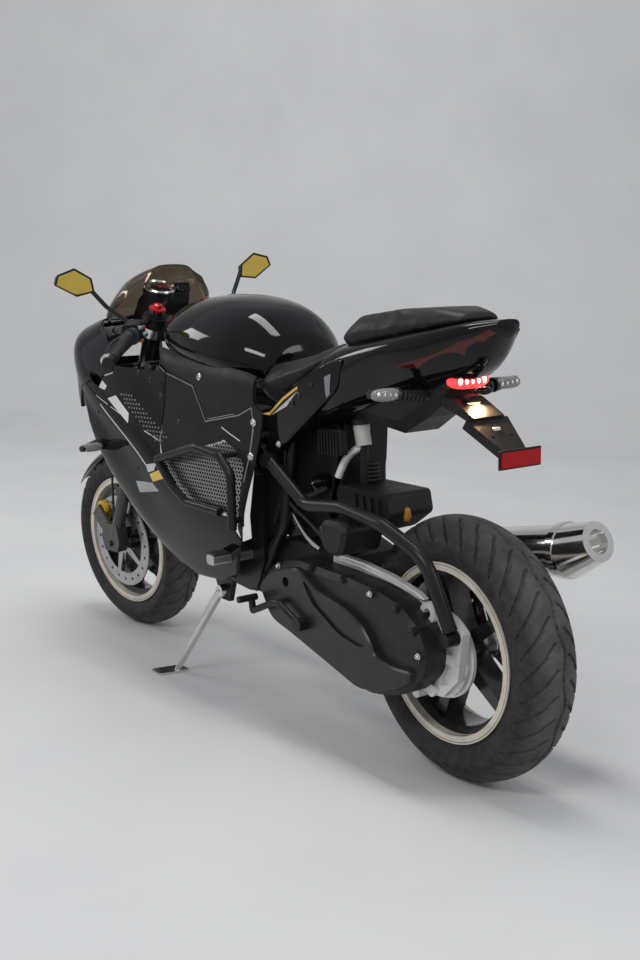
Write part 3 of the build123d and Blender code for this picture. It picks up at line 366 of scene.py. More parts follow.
def joined(name, objs):
    """One mesh object from several, with modifiers applied and materials kept."""
    merged = bmesh.new()
    materials = []
    for obj in objs:
        data = evaluated_mesh(obj)
        data.transform(obj.matrix_world)
        start = len(merged.faces)
        merged.from_mesh(data)
        merged.faces.ensure_lookup_table()
        for face in list(merged.faces)[start:]:
            material = data.materials[face.material_index] if data.materials else None
            if material not in materials:
                materials.append(material)
            face.material_index = materials.index(material)
        bpy.data.meshes.remove(data)
    for obj in objs:
        bpy.data.objects.remove(obj)
    out = object_from(merged, name)
    for material in materials:
        out.data.materials.append(material)
    return out


def spline_through(points, samples, closed):
    """Points on a smooth curve through the given ones."""
    count = len(points)
    spans = count if closed else count - 1
    out = []
    for k in range(samples if closed else samples + 1):
        at = k / samples * spans
        i = min(int(at), spans - 1)
        t = at - i

        def pick(j):
            if closed:
                return points[j % count]
            if j < 0:
                return points[0] * 2 - points[1]
            if j >= count:
                return points[-1] * 2 - points[-2]
            return points[j]

        a, b, c, d = pick(i - 1), pick(i), pick(i + 1), pick(i + 2)
        out.append(0.5 * (2 * b + (c - a) * t + (2 * a - 5 * b + 4 * c - d) * t ** 2
                          + (3 * b - a - 3 * c + d) * t ** 3))
    return out


def smooth_body(name, rows, around=72, along=60, cap=0.0):
    """A closed smooth body through sections; a row is x, then (half width, z) upwards, in millimetres."""
    rings = []
    for x, *edge in rows:
        ring = [Vector((x, w, z)) for w, z in edge] + [Vector((x, -w, z)) for w, z in reversed(edge)]
        rings.append(spline_through(ring, around, True))
    lines = [spline_through([ring[k] for ring in rings], along, False) for k in range(around)]
    verts = [bike(*lines[k][j]) for j in range(along + 1) for k in range(around)]
    faces = []
    for j in range(along):
        for k in range(around):
            after = (k + 1) % around
            faces.append((j * around + k, j * around + after, (j + 1) * around + after, (j + 1) * around + k))
    for j, order in ((0, 1), (along, -1)):
        ring = [j * around + k for k in range(around)]
        middle = sum((verts[i] for i in ring), Vector()) / around
        outward = (verts[ring[0]] - verts[(1 if j == 0 else along - 1) * around]).normalized()
        verts.append(middle + outward * cap / 1000)
        for k in range(around):
            pair = (ring[k], ring[(k + 1) % around])
            faces.append((pair[1], pair[0], len(verts) - 1)[::order])
    return face_outwards(mesh_object(name, verts, faces))


def prism(outline, y_from=-400.0, y_to=400.0, name="prism"):
    """A closed slab: an outline of (x, z) in millimetres, between two distances to the left."""
    made = bmesh.new()
    near = [made.verts.new(bike(x, y_from, z)) for x, z in outline]
    far = [made.verts.new(bike(x, y_to, z)) for x, z in outline]
    count = len(outline)
    made.faces.new(near)
    made.faces.new(far[::-1])
    for k in range(count):
        made.faces.new((near[k], far[k], far[(k + 1) % count], near[(k + 1) % count]))
    bmesh.ops.recalc_face_normals(made, faces=made.faces)
    return object_from(made, name)


def combine(obj, other, operation, keep=False):
    """obj with other cut away from it, joined to it, or limiting it."""
    modifier = obj.modifiers.new("cut", 'BOOLEAN')
    modifier.operation = operation
    modifier.solver = 'MANIFOLD'
    modifier.object = other
    apply_modifiers(obj)
    if not keep:
        bpy.data.objects.remove(other)
    return obj


def round_edges(obj, width):
    edge = obj.modifiers.new("edge", 'BEVEL')
    edge.width = width
    edge.segments = 3


def copy_of(obj, name):
    fresh = obj.copy()
    fresh.data = obj.data.copy()
    fresh.name = name
    return link(fresh)


def inward(side):
    """The direction, in the frame, from one side of the bike to its middle."""
    return PARKED.to_3x3() @ Vector((0, -side, 0))


def dropped(tree, x, z, side):
    """Where a sideways line through (x, z) meets a surface, and the outward normal, both in the frame."""
    heading = inward(side)
    hit, normal, _, _ = tree.ray_cast(bike(x, side * 500, z), heading)
    if hit is None or to_bike(hit).y * side < 0:
        return None, None
    return hit, -normal if normal.dot(heading) > 0 else normal


def lay_on(name, outline, surface, side, lift, finish_name, step=8.0):
    """A thin sheet whose outline of (x, z) is dropped sideways onto a surface and lies just off it."""
    made = bmesh.new()
    made.faces.new([made.verts.new((x, 0, z)) for x, z in outline])
    bmesh.ops.triangulate(made, faces=made.faces)
    for _ in range(7):
        long_edges = [e for e in made.edges if e.calc_length() > step]
        if not long_edges:
            break
        bmesh.ops.subdivide_edges(made, edges=long_edges, cuts=1)
        bmesh.ops.triangulate(made, faces=made.faces)
    missed = []
    for vert in made.verts:
        hit, normal = dropped(surface, vert.co.x, vert.co.z, side)
        if hit is None:
            missed.append(vert)
        else:
            vert.co = hit + normal * lift
    bmesh.ops.delete(made, geom=missed, context='VERTS')
    bmesh.ops.recalc_face_normals(made, faces=made.faces)
    heading = inward(side)
    for face in made.faces:
        if face.normal.dot(heading) > 0:
            face.normal_flip()
    obj = object_from(made, name)
    shade_smooth(obj.data)
    if finish_name:
        wear(obj, finish_name)
    return obj


def surface_of(*objs):
    """A search tree over the surfaces of some objects."""
    made = bmesh.new()
    for obj in objs:
        data = obj.data.copy()
        data.transform(obj.matrix_world)
        made.from_mesh(data)
        bpy.data.meshes.remove(data)
    tree = BVHTree.FromBMesh(made)
    made.free()
    return tree


def tube(name, points, radius, finish_name, body="chassis", sides=12, smooth=True):
    """A round bar or hose along a smooth line through bike points in millimetres."""
    curve = bpy.data.curves.new(name, 'CURVE')
    curve.dimensions = '3D'
    curve.bevel_depth = radius / 1000
    curve.bevel_resolution = max(1, sides // 4)
    curve.use_fill_caps = True
    curve.resolution_u = 8
    spline = curve.splines.new('NURBS' if smooth else 'POLY')
    spline.points.add(len(points) - 1)
    for point, place in zip(spline.points, points):
        point.co = (*bike(*place, body), 1)
    if smooth:
        spline.order_u = 3
        spline.use_endpoint_u = True
    holder = link(bpy.data.objects.new(name + "_line", curve))
    data = evaluated_mesh(holder)
    bpy.data.objects.remove(holder)
    data.name = name
    shade_smooth(data)
    return wear(link(bpy.data.objects.new(name, data)), finish_name, body)


def turned(name, profile, centre, axis, finish_name=None, body="chassis", segments=40):
    """A turned piece: (radius, height) points in millimetres, round an axis through a bike point."""
    pose = POSE_OF[body]
    direction = (pose.to_3x3() @ Vector(axis)).normalized()
    base = Matrix.Translation(bike(*centre, body)) @ direction.to_track_quat('Z', 'Y').to_matrix().to_4x4()
    verts = []
    for k in range(segments):
        turn = 2 * pi * k / segments
        for r, h in profile:
            verts.append(base @ Vector((r * cos(turn) / 1000, r * sin(turn) / 1000, h / 1000)))
    obj = face_outwards(mesh_object(name, verts, ring_faces(segments, len(profile), False)), weld=0.00001)
    smooth_by_angle(obj)
    if finish_name:
        wear(obj, finish_name, body)
    return obj


def bolt(name, place, axis, radius, height, finish_name):
    """A flanged bolt head with a hexagon socket, its flange on the given point."""
    head = radius * 0.72
    profile = [(0.01, -2), (radius, -2), (radius, 1.2), (radius * 0.86, 1.8), (head, 2), (head, height - 0.8),
               (head - 0.8, height), (head * 0.55, height), (head * 0.5, height - 2.4), (0.01, height - 2.4)]
    return turned(name, profile, place, axis, finish_name, segments=24)


# ---------------------------------------------------------------- floor and light
def make_stage():
    """A pale floor that curves up into a backdrop behind the bike, and soft panels of light."""
    g = Graph("pale_floor")
    g.join(g.mix(g.span(g.noise(1.3, 4.0), 0.35, 0.65, 0.0, 1.0), (0.60, 0.60, 0.60), (0.64, 0.64, 0.635)),
           g.shader.inputs["Base Color"])
    g.join(g.span(g.noise(6.0), 0.3, 0.7, 0.50, 0.60), g.shader.inputs["Roughness"])
    half, flat_end, wall_radius, height, steps = 14.0, 6.0, 3.0, 9.0, 12
    profile = [(-half, 0.0), (flat_end, 0.0)]
    for k in range(1, steps + 1):
        turn = k / steps * pi / 2
        profile.append((flat_end + wall_radius * sin(turn), wall_radius * (1 - cos(turn))))
    profile.append((flat_end + wall_radius, height))
    heading = radians(-36)
    ahead = Vector((cos(heading), sin(heading), 0))
    across = Vector((-ahead.y, ahead.x, 0))
    verts, faces = [], []
    for reach, rise in profile:
        for side in (-half, half):
            verts.append(ahead * reach + across * side + Vector((0, 0, rise)))
    for k in range(len(profile) - 1):
        faces.append((2 * k, 2 * k + 1, 2 * k + 3, 2 * k + 2))
    floor = mesh_object("floor", verts, faces)
    floor.data.materials.append(g.material)
    world = bpy.data.worlds.new("studio")
    world.use_nodes = True
    background = world.node_tree.nodes["Background"]
    background.inputs["Color"].default_value = (0.86, 0.88, 0.92, 1)
    background.inputs["Strength"].default_value = 0.50
    bpy.context.scene.world = world
    area_light("key", (-2.2, 3.6, 3.4), (0, 0, 0.5), (1.9, 0.7), 66)
    area_light("top", (0.0, 0.2, 4.2), (0, 0, 0.5), (2.6, 0.8), 68)
    area_light("rear", (-3.8, -1.6, 2.4), (0, 0, 0.6), (1.4, 1.0), 22)
    area_light("front", (3.6, 2.2, 2.6), (0.3, 0, 0.6), (1.4, 1.0), 30)
    area_light("backdrop", ahead * 3.5 + Vector((0, 0, 5.5)), ahead * 9 + Vector((0, 0, 1.6)), (7.0, 2.0), 140)


make_camera()
bpy.context.scene.view_settings.view_transform = 'Standard'
make_stage()

# ---------------------------------------------------------------- finishes of the frame's own pieces
NODE_FINISH = {
    "main_frame": "frame_black", "engine_block": "case_black", "cvt_case": "case_black", "cvt_guard": "guard_black",
    "final_drive_case": "cast_silver", "kick_lever": "satin_black", "swingarm_right": "case_black",
    "strut_left": "frame_black", "rear_shock": "frame_black", "airbox": "matte_black", "fluid_bottle": "bottle_white",
    "exhaust": "exhaust_steel", "upper_fairing": "satin_black", "headlamps": "lamp_clear",
    "side_fairings": "gloss_black", "knee_panels": "satin_black", "side_covers": "satin_black",
    "side_grilles": "matte_black", "crash_bars": "satin_black", "tank": "gloss_black", "tank_cap": "cap_blue",
    "tail_fairing": "gloss_black", "tail_lamps": "lamp_red", "undertail": "matte_black",
    "rear_reflector": "reflector_red", "turn_signals": "signal_body", "windscreen": "screen_smoke",
    "instrument_pod": "matte_black", "foot_pegs": "peg_alloy", "triple_clamps": "machined_silver",
    "fork_tubes": "fork_black", "fork_sliders": "slider_grey", "front_fender": "gloss_black",
    "front_calipers": "caliper_yellow", "handlebars": "satin_black", "grips": "grip_rubber", "levers": "satin_black",
    "mirror_heads": "satin_black", "mirror_glass": "mirror_gold", "front_rim": "wheel_black", "front_tyre": "tyre",
    "front_discs": "disc_steel", "rear_rim": "wheel_black", "rear_tyre": "tyre", "rear_disc": "disc_steel",
    "side_stand": "bright_steel", "rider_seat": "seat_vinyl", "passenger_seat": "seat_vinyl",
}
for node, finish_name in NODE_FINISH.items():
    if not nodes[node].material_slots:
        nodes[node].data.materials.append(None)
    for slot in nodes[node].material_slots:
        slot.material = FINISHES[finish_name]

# ---------------------------------------------------------------- bodywork, with the frame's sections made smooth
SKIN = 4.0
BODY_ROWS = [
    (1550, (26, 770), (58, 800), (60, 845), (26, 868)),
    (1480, (105, 700), (156, 780), (156, 870), (80, 905)),
    (1391, (160, 640), (212, 780), (200, 880), (110, 930)),
    (1250, (190, 560), (232, 700), (216, 850), (140, 945)),
    (1050, (180, 400), (232, 600), (208, 800), (150, 895)),
    (850, (140, 285), (222, 480), (196, 700), (146, 872)),
    (600, (130, 295), (206, 450), (172, 700), (140, 846)),
    (500, (125, 330), (190, 450), (156, 700), (130, 820)),
]
TANK_ROWS = [
    (1035, (85, 872), (112, 925), (50, 965)),
    (960, (118, 850), (158, 918), (70, 984)),
    (860, (136, 838), (176, 908), (80, 992)),
    (750, (136, 822), (174, 898), (80, 988)),
    (650, (122, 806), (156, 882), (74, 962)),
    (585, (92, 808), (112, 862), (52, 915)),
    (566, (70, 815), (84, 850), (40, 884)),
]
TAIL_ROWS = [
    (440, (80, 700), (112, 745), (104, 832)),
    (300, (80, 752), (128, 802), (100, 896)),
    (150, (66, 800), (122, 866), (98, 924)),
    (35, (50, 828), (106, 884), (86, 944)),
    (-60, (34, 872), (72, 924), (56, 960)),
    (-118, (14, 938), (30, 952), (22, 966)),
]


def inside(row, overrun=60.0):
    """The hollow's section for one body row: in by the skin, and run on past both open edges."""
    x, (wb, zb), (ww, zw), (ws, zs), (wt, zt) = row
    low = (max(wb - SKIN - overrun * (ww - wb) / (zw - zb), 8), zb - overrun)
    top = (wt - SKIN, zt - SKIN) if x > 1300 else (wt - SKIN - overrun * (ws - wt) / (zt - zs), zt + overrun)
    return (x, low, (ww - SKIN, zw), (ws - SKIN, zs), top)


def ends_moved(rows, front, rear):
    """Rows whose first and last are moved back by their own distances."""
    first, last = rows[0], rows[-1]
    return [(first[0] - front, *first[1:]), *rows[1:-1], (last[0] - rear, *last[1:])]


HOLLOW_ROWS = ends_moved([inside(row) for row in BODY_ROWS], SKIN, 6)

UPPER_OUTLINE = [(1570, 720), (1570, 990), (1391, 990), (1260, 905), (1160, 862), (1150, 800), (1292, 764),
                 (1337, 752), (1360, 690), (1480, 680)]
LAMP_OUTLINE = [(1403, 808), (1471, 848), (1560, 848), (1560, 808)]
SIDE_OUTLINE = [(1334, 748), (1277, 657), (1233, 606), (1163, 531), (1080, 470), (1016, 359), (906, 296), (700, 312),
                (610, 350), (556, 440), (610, 493), (747, 497), (818, 532), (896, 600), (908, 640), (1235, 735),
                (1290, 760)]
INNER_OUTLINE = [(1232, 737), (910, 644), (910, 818), (1006, 866), (1006, 815), (1146, 818), (1146, 798), (1286, 763)]
KNEE_OUTLINE = [(1006, 868), (907, 819), (786, 794), (729, 711), (600, 737), (545, 761), (545, 850), (1006, 900)]
COVER_OUTLINE = [(906, 818), (786, 793), (729, 710), (600, 736), (545, 760), (520, 740), (530, 600), (556, 444),
                 (566, 470), (564, 620), (602, 651), (650, 669), (693, 656), (891, 607), (906, 642)]
MESH_OUTLINE = [(896, 606), (693, 656), (650, 669), (602, 651), (564, 620), (564, 470), (611, 494), (747, 499),
                (816, 534)]


def steering_points(node, side):
    """One side's vertices of a steered piece, in millimetres on the bike with its bars straight."""
    spots = [to_bike(nodes[node].matrix_world @ v.co, "steering") for v in nodes[node].data.vertices]
    return [p for p in spots if p.y * side > 0]


def middle_of(spots):
    return sum(spots, Vector()) / len(spots)


END_SLICE = 14
STEER_LIMIT = radians(25.0)
HAND_ROOM = 31.0
SWITCH_REACH, BAR_END_REACH = 95, 30


def grip_ends(side):
    """The two end points, inner first, of one grip, in millimetres on the bike with its bars straight."""
    spots = steering_points("grips", side)
    edges = min(p.y * side for p in spots), max(p.y * side for p in spots)
    return [middle_of([p for p in spots if abs(p.y * side - edge) < END_SLICE]) for edge in edges]


def hand_room(side):
    """The space that one grip and its switches reach into with the bars turned fully to that side."""
    inner, outer = grip_ends(side)
    along = (outer - inner).normalized()
    swing = (Matrix.Translation(STEER_FOOT * 1000) @ Matrix.Rotation(side * STEER_LIMIT, 4, STEER_AXIS)
             @ Matrix.Translation(STEER_FOOT * -1000))
    start, end = swing @ (inner - along * SWITCH_REACH), swing @ (outer + along * BAR_END_REACH)
    length = (end - start).length
    return turned("hand_room", [(0.01, 0), (HAND_ROOM, 0), (HAND_ROOM, length), (0.01, length)], start, end - start)


PANELS = {  # outline, finish, slot, replaced node
    "upper_fairing_skin": (UPPER_OUTLINE, "gloss_black", "satin_black", "upper_fairing"),
    "side_fairing_skins": (SIDE_OUTLINE, "gloss_black", "gloss_black", "side_fairings"),
    "inner_skins": (INNER_OUTLINE, "gloss_black", "satin_black", None),
    "knee_skins": (KNEE_OUTLINE, "matte_black", "satin_black", "knee_panels"),
    "cover_skins": (COVER_OUTLINE, "satin_black", "satin_black", None),
}


def make_bodywork():
    """The shell's panels, each cut from one smooth shell by its outline, and the tank and tail."""
    outer = smooth_body("body_outer", BODY_ROWS, 96, 84, cap=6)
    outer_tree = surface_of(outer)
    tank = smooth_body("tank_body", TANK_ROWS, 80, 56, cap=4)
    tail = smooth_body("tail_body", TAIL_ROWS, 80, 56, cap=3)
    shell = combine(outer, smooth_body("body_hollow", HOLLOW_ROWS, 96, 84), 'DIFFERENCE')
    panels = {}
    for name, (outline, finish_name, slot, node) in PANELS.items():
        panel = combine(copy_of(shell, name), prism(outline), 'INTERSECT')
        if name == "upper_fairing_skin":
            panel = combine(panel, prism(LAMP_OUTLINE, name="lamp_hole"), 'DIFFERENCE')
        if name == "knee_skins":
            panel = combine(panel, tank, 'DIFFERENCE', keep=True)
        if name in ("knee_skins", "inner_skins", "cover_skins"):
            for side in (1, -1):
                panel = combine(panel, hand_room(side), 'DIFFERENCE')
        smooth_by_angle(panel)
        panels[name] = wear(panel, finish_name)
        if node:
            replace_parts(panel, node)
    bpy.data.objects.remove(shell)
    for obj, node in ((tank, "tank"), (tail, "tail_fairing")):
        smooth_by_angle(obj, 50)
        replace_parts(wear(obj, "gloss_black"), node)
    return outer_tree, panels


SCREEN_ROWS = [
    (1430, (84, 914), (60, 950), (20, 962)),
    (1330, (126, 928), (98, 1008), (36, 1034)),
    (1250, (128, 972), (110, 1034), (42, 1065)),
    (1198, (88, 1034), (66, 1062), (36, 1078)),
]


def make_screen():
    """The smoked screen: one smooth shell, open below and behind."""
    thick = 3
    inner_rows = [(x, (wb - thick, zb - 40), (wm - thick, zm - thick), (wt - 2, zt - thick))
                  for x, (wb, zb), (wm, zm), (wt, zt) in SCREEN_ROWS]
    hollow = smooth_body("screen_hollow", ends_moved(inner_rows, thick, thick), 64, 40)
    screen = combine(smooth_body("screen_skin", SCREEN_ROWS, 64, 40), hollow, 'DIFFERENCE')
    smooth_by_angle(screen, 50)
    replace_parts(wear(screen, "screen_smoke"), "windscreen")


def make_tail_covers():
    """The strut covers beside the tail, which are the side covers' solids that lie behind the shell."""
    made = bmesh.new()
    made.from_mesh(nodes["side_covers"].data)
    made.verts.ensure_lookup_table()
    seen, groups = set(), []
    for vert in made.verts:
        if vert in seen:
            continue
        stack, group = [vert], []
        seen.add(vert)
        while stack:
            at = stack.pop()
            group.append(at)
            for edge in at.link_edges:
                other = edge.other_vert(at)
                if other not in seen:
                    seen.add(other)
                    stack.append(other)
        groups.append(group)
    shell_rear = PLAN_SHIFT[0] + BODY_ROWS[-1][0] / 1000
    drop = [v for group in groups if min(v.co.x for v in group) > shell_rear for v in group]
    bmesh.ops.delete(made, geom=drop, context='VERTS')
    obj = object_from(made, "tail_cover_skins")
    round_edges(obj, 0.004)
    smooth_by_angle(obj, 40)
    return wear(obj, "gloss_black")


# ---------------------------------------------------------------- seats
def swell(obj, voxel, soften, pressure, cap):
    """Rounds a closed pad, then swells it as sewn foam, each point kept within a cap of its start."""
    remesh = obj.modifiers.new("remesh", 'REMESH')
    remesh.mode = 'VOXEL'
    remesh.voxel_size = voxel
    ease = obj.modifiers.new("ease", 'SMOOTH')
    ease.factor = 0.5
    ease.iterations = soften
    apply_modifiers(obj)
    start = [v.co.copy() for v in obj.data.vertices]
    cloth = obj.modifiers.new("cloth", 'CLOTH')
    cloth.settings.use_pressure = True
    cloth.settings.uniform_pressure_force = pressure
    cloth.settings.effector_weights.gravity = 0
    cloth.settings.tension_stiffness = 40
    last_frame = 20
    cloth.point_cache.frame_start = 1
    cloth.point_cache.frame_end = last_frame
    scene = bpy.context.scene
    for frame_number in range(1, last_frame + 1):
        scene.frame_set(frame_number)
    swollen = obj.evaluated_get(bpy.context.evaluated_depsgraph_get())
    moved = [v.co.copy() for v in swollen.data.vertices]
    obj.modifiers.clear()
    for vert, before, after in zip(obj.data.vertices, start, moved):
        step = after - before
        if step.length > cap:
            step = step.normalized() * cap
        vert.co = before + step
    scene.frame_set(1)
    return obj


def make_seat(name, node):
    """One padded seat over its solid."""
    obj = copy_of(nodes[node], name)
    obj.parent = None
    obj.matrix_world = Matrix.Identity(4)
    obj.data.materials.clear()
    swell(obj, voxel=0.005, soften=22, pressure=4.0, cap=0.005)
    settle = obj.modifiers.new("settle", 'SMOOTH')
    settle.factor = 0.5
    settle.iterations = 8
    finer = obj.modifiers.new("finer", 'SUBSURF')
    finer.levels = finer.render_levels = 1
    smooth_by_angle(obj, 60)
    wear(obj, "seat_vinyl")
    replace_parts(obj, node)


# ---------------------------------------------------------------- tyres and wheels
TREAD_DEPTH = 0.0055
GROOVES = ((0.16, 0.62, 0.72, 0.070), (0.42, 0.97, 0.95, 0.085))  # start, end, lean, half width, as shares


def tread_depth(turn, across, repeats, seed):
    """How deep the tread is cut at an angle round the tyre and a share of its half width."""
    reach = abs(across)
    side = 0.5 if across < 0 else 0.0
    centre_line = 0.055 * sin(turn * repeats * 0.5 + seed)
    groove = abs(across - centre_line) - 0.030
    deepest = 1 - max(0.0, min(1.0, groove / 0.022))
    pitch = 2 * pi / repeats
    for start, end, lean, width in GROOVES:
        if not start - 0.03 < reach < end + 0.03:
            continue
        along = max(0.0, (reach - start) / (end - start))
        phase = turn / pitch + side + lean * along ** 1.5 + (0.5 if start > 0.3 else 0.0)
        away = abs(phase - round(phase))
        taper = min(1.0, max(0.0, along * 6), max(0.0, (1.03 - along) * 9))
        if taper > 0:
            deepest = max(deepest, 1 - max(0.0, min(1.0, (away - width * taper) / 0.030)))
    return deepest


def make_tyre(name, node, body, centre, radius, half, rim_half, repeats):
    """A tyre with rounded walls and a cut tread on its crown."""
    wide_at = radius - CROWN_DROP * half
    crown_r = (half ** 2 + (radius - wide_at) ** 2) / (2 * (radius - wide_at))
    spread = asin(half / crown_r)
    bead = (FLANGE_R + 0.002, rim_half - 0.0045)
    bulge = ((bead[0] + wide_at) / 2 - 0.002, half - 0.0025)
    heel = (FLANGE_R - 0.0105, rim_half - 0.007)
    toe = (FLANGE_R - 0.0105, rim_half - 0.020)
    inner = (wide_at - 0.004, half - 0.010)
    crown_steps = 72
    profile = []
    for k in range(crown_steps + 1):
        angle = spread * (1 - 2 * k / crown_steps)
        profile.append((radius - crown_r + crown_r * cos(angle), crown_r * sin(angle), sin(angle) / sin(spread)))
    wall = [Vector((wide_at, half)), Vector(bulge), Vector(bead)]
    wall_line = [wall[0] * (1 - t) ** 2 + (2 * wall[1] - (wall[0] + wall[2]) / 2) * 2 * t * (1 - t) + wall[2] * t * t
                 for t in (k / 9 for k in range(1, 10))]
    half_line = [inner, (FLANGE_R + 0.004, rim_half - 0.014), toe, heel] + [(p.x, p.y) for p in wall_line[::-1]]
    ring = (profile + [(r, -y, None) for r, y in half_line[::-1]] + [(radius - 0.010, 0, None)]
            + [(r, y, None) for r, y in half_line])
    pose = POSE_OF[body]
    around = 840
    verts = []
    for j in range(around):
        turn = 2 * pi * j / around
        for r, y, across in ring:
            if across is not None:
                r -= TREAD_DEPTH * tread_depth(turn, across, repeats, radius * 10)
            verts.append(pose @ Vector((centre[0] + r * sin(turn), y, centre[2] + r * cos(turn))))
    obj = mesh_object(name, verts, ring_faces(around, len(ring), True))
    smooth_by_angle(obj, 55)
    wear(obj, "tyre", body)
    obj.data.materials[0] = make_tyre_finish(name + "_rubber", centre, body, radius)
    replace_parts(obj, node)


def reach_from_axle(g, centre, body):
    """How far a point of the surface lies from a wheel's axle."""
    pose = POSE_OF[body]
    offset = g.node("ShaderNodeVectorMath", operation='SUBTRACT')
    offset.inputs[1].default_value = pose @ Vector(centre)
    g.join(g.place, offset.inputs[0])
    cross = g.node("ShaderNodeVectorMath", operation='CROSS_PRODUCT')
    cross.inputs[1].default_value = (pose.to_3x3() @ Vector((0, 1, 0))).normalized()
    g.join(offset.outputs["Vector"], cross.inputs[0])
    length = g.node("ShaderNodeVectorMath", operation='LENGTH')
    g.join(cross.outputs["Vector"], length.inputs[0])
    return length.outputs["Value"]


def make_tyre_finish(name, centre, body, radius):
    """Black rubber whose crown is worn and dusty, with clean rubber left in the grooves."""
    g = Graph(name)
    reach = reach_from_axle(g, centre, body)
    crown = g.span(reach, radius - 0.030, radius - 0.004, 0.0, 1.0)
    patches = g.span(g.noise(13.0, 6.0, 0.7), 0.38, 0.62, 0.35, 1.0)
    worn = g.math('MULTIPLY', crown, patches)
    wall = g.mix(g.span(g.noise(60.0, 5.0), 0.4, 0.6, 0.0, 1.0), (0.018, 0.018, 0.019), (0.030, 0.030, 0.030))
    g.join(g.mix(worn, wall, (0.085, 0.085, 0.086)), g.shader.inputs["Base Color"])
    g.join(g.span(g.noise(40.0), 0.3, 0.7, 0.52, 0.70), g.shader.inputs["Roughness"])
    g.join(g.bump(g.noise(700.0), 0.00012), g.shader.inputs["Normal"])
    g.set(specular=0.3)
    return g.material


LIP_R = 0.1735
LINE_R, LINE_HALF = 0.1868, 0.0007


def make_wheel_finish(name, centre, body):
    """Black cast wheel whose outer lip is cream, with a thin dark line round it."""
    g = Graph(name)
    reach = reach_from_axle(g, centre, body)
    lip = g.math('GREATER_THAN', reach, LIP_R)
    line = g.math('LESS_THAN', g.math('ABSOLUTE', g.math('SUBTRACT', reach, LINE_R)), LINE_HALF)
    tone = g.mix(g.span(g.noise(24.0, 5.0), 0.4, 0.65, 0.0, 1.0), (0.66, 0.61, 0.52), (0.54, 0.49, 0.41))
    dark = g.mix(g.span(g.noise(30.0, 5.0), 0.4, 0.65, 0.0, 1.0), (0.008, 0.008, 0.009), (0.016, 0.015, 0.015))
    g.join(g.mix(g.math('MULTIPLY', lip, g.math('SUBTRACT', 1.0, line)), dark, tone), g.shader.inputs["Base Color"])
    g.join(g.span(g.noise(40.0), 0.3, 0.7, 0.20, 0.30), g.shader.inputs["Roughness"])
    g.join(g.bump(g.noise(500.0), 0.00004), g.shader.inputs["Normal"])
    g.set(coat=0.3, coat_rough=0.05)
    return g.material


body_tree, panels = make_bodywork()
make_screen()
side_cover_skins = joined("side_cover_skins", [panels["inner_skins"], panels["cover_skins"], make_tail_covers()])
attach(side_cover_skins, "chassis")
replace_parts(side_cover_skins, "side_covers")
make_seat("rider_pad", "rider_seat")
make_seat("passenger_pad", "passenger_seat")
for end, (centre, *sizes) in WHEELS.items():
    make_tyre(f"{end}_tyre_tread", f"{end}_tyre", f"{end}_wheel", centre, *sizes)
    for slot in nodes[f"{end}_rim"].material_slots:
        slot.material = make_wheel_finish(f"{end}_rim_paint", centre, f"{end}_wheel")


# ---------------------------------------------------------------- trim laid on the bodywork, and painted highlight lines
def point_on(tree, x, z, side):
    """Where a sideways line through (x, z) meets a surface, and the outward normal, both on the upright bike."""
    hit, normal = dropped(tree, x, z, side)
    if hit is None:
        return None, None
    return to_bike(hit), PARKED.to_3x3().inverted() @ normal


def band(line, width):
    """The outline of a strip of even width along a line of (x, z) points."""
    upper, lower = [], []
    for k, (x, z) in enumerate(line):
        before, after = line[max(0, k - 1)], line[min(len(line) - 1, k + 1)]
        along = Vector((after[0] - before[0], after[1] - before[1])).normalized()
        upper.append((x - along.y * width / 2, z + along.x * width / 2))
        lower.append((x + along.y * width / 2, z - along.x * width / 2))
    return upper + lower[::-1]


def stud(name, x, z, side, tree, radius, finish_name, height):
    """A screw head seated on a surface, seen from the side."""
    place, normal = point_on(tree, x, z, side)
    if place is not None:
        bolt(name, place, normal, radius, height, finish_name)


def holds(outline, x, z):
    """Whether an outline of (x, z) points goes round a point."""
    within = False
    for (x1, z1), (x2, z2) in zip(outline, outline[1:] + outline[:1]):
        if (z1 > z) != (z2 > z) and x < (x2 - x1) * (z - z1) / (z2 - z1) + x1:
            within = not within
    return within


def lattice(outline, pitch):
    """Centres of a triangular lattice inside an outline of (x, z) points."""
    low_x, high_x = min(p[0] for p in outline), max(p[0] for p in outline)
    low_z, high_z = min(p[1] for p in outline), max(p[1] for p in outline)
    rise = pitch * sqrt(3) / 2
    return [(low_x + (k + 0.5 * (row % 2)) * pitch, low_z + row * rise)
            for row in range(int((high_z - low_z) / rise) + 1)
            for k in range(int((high_x - low_x) / pitch) + 1)]


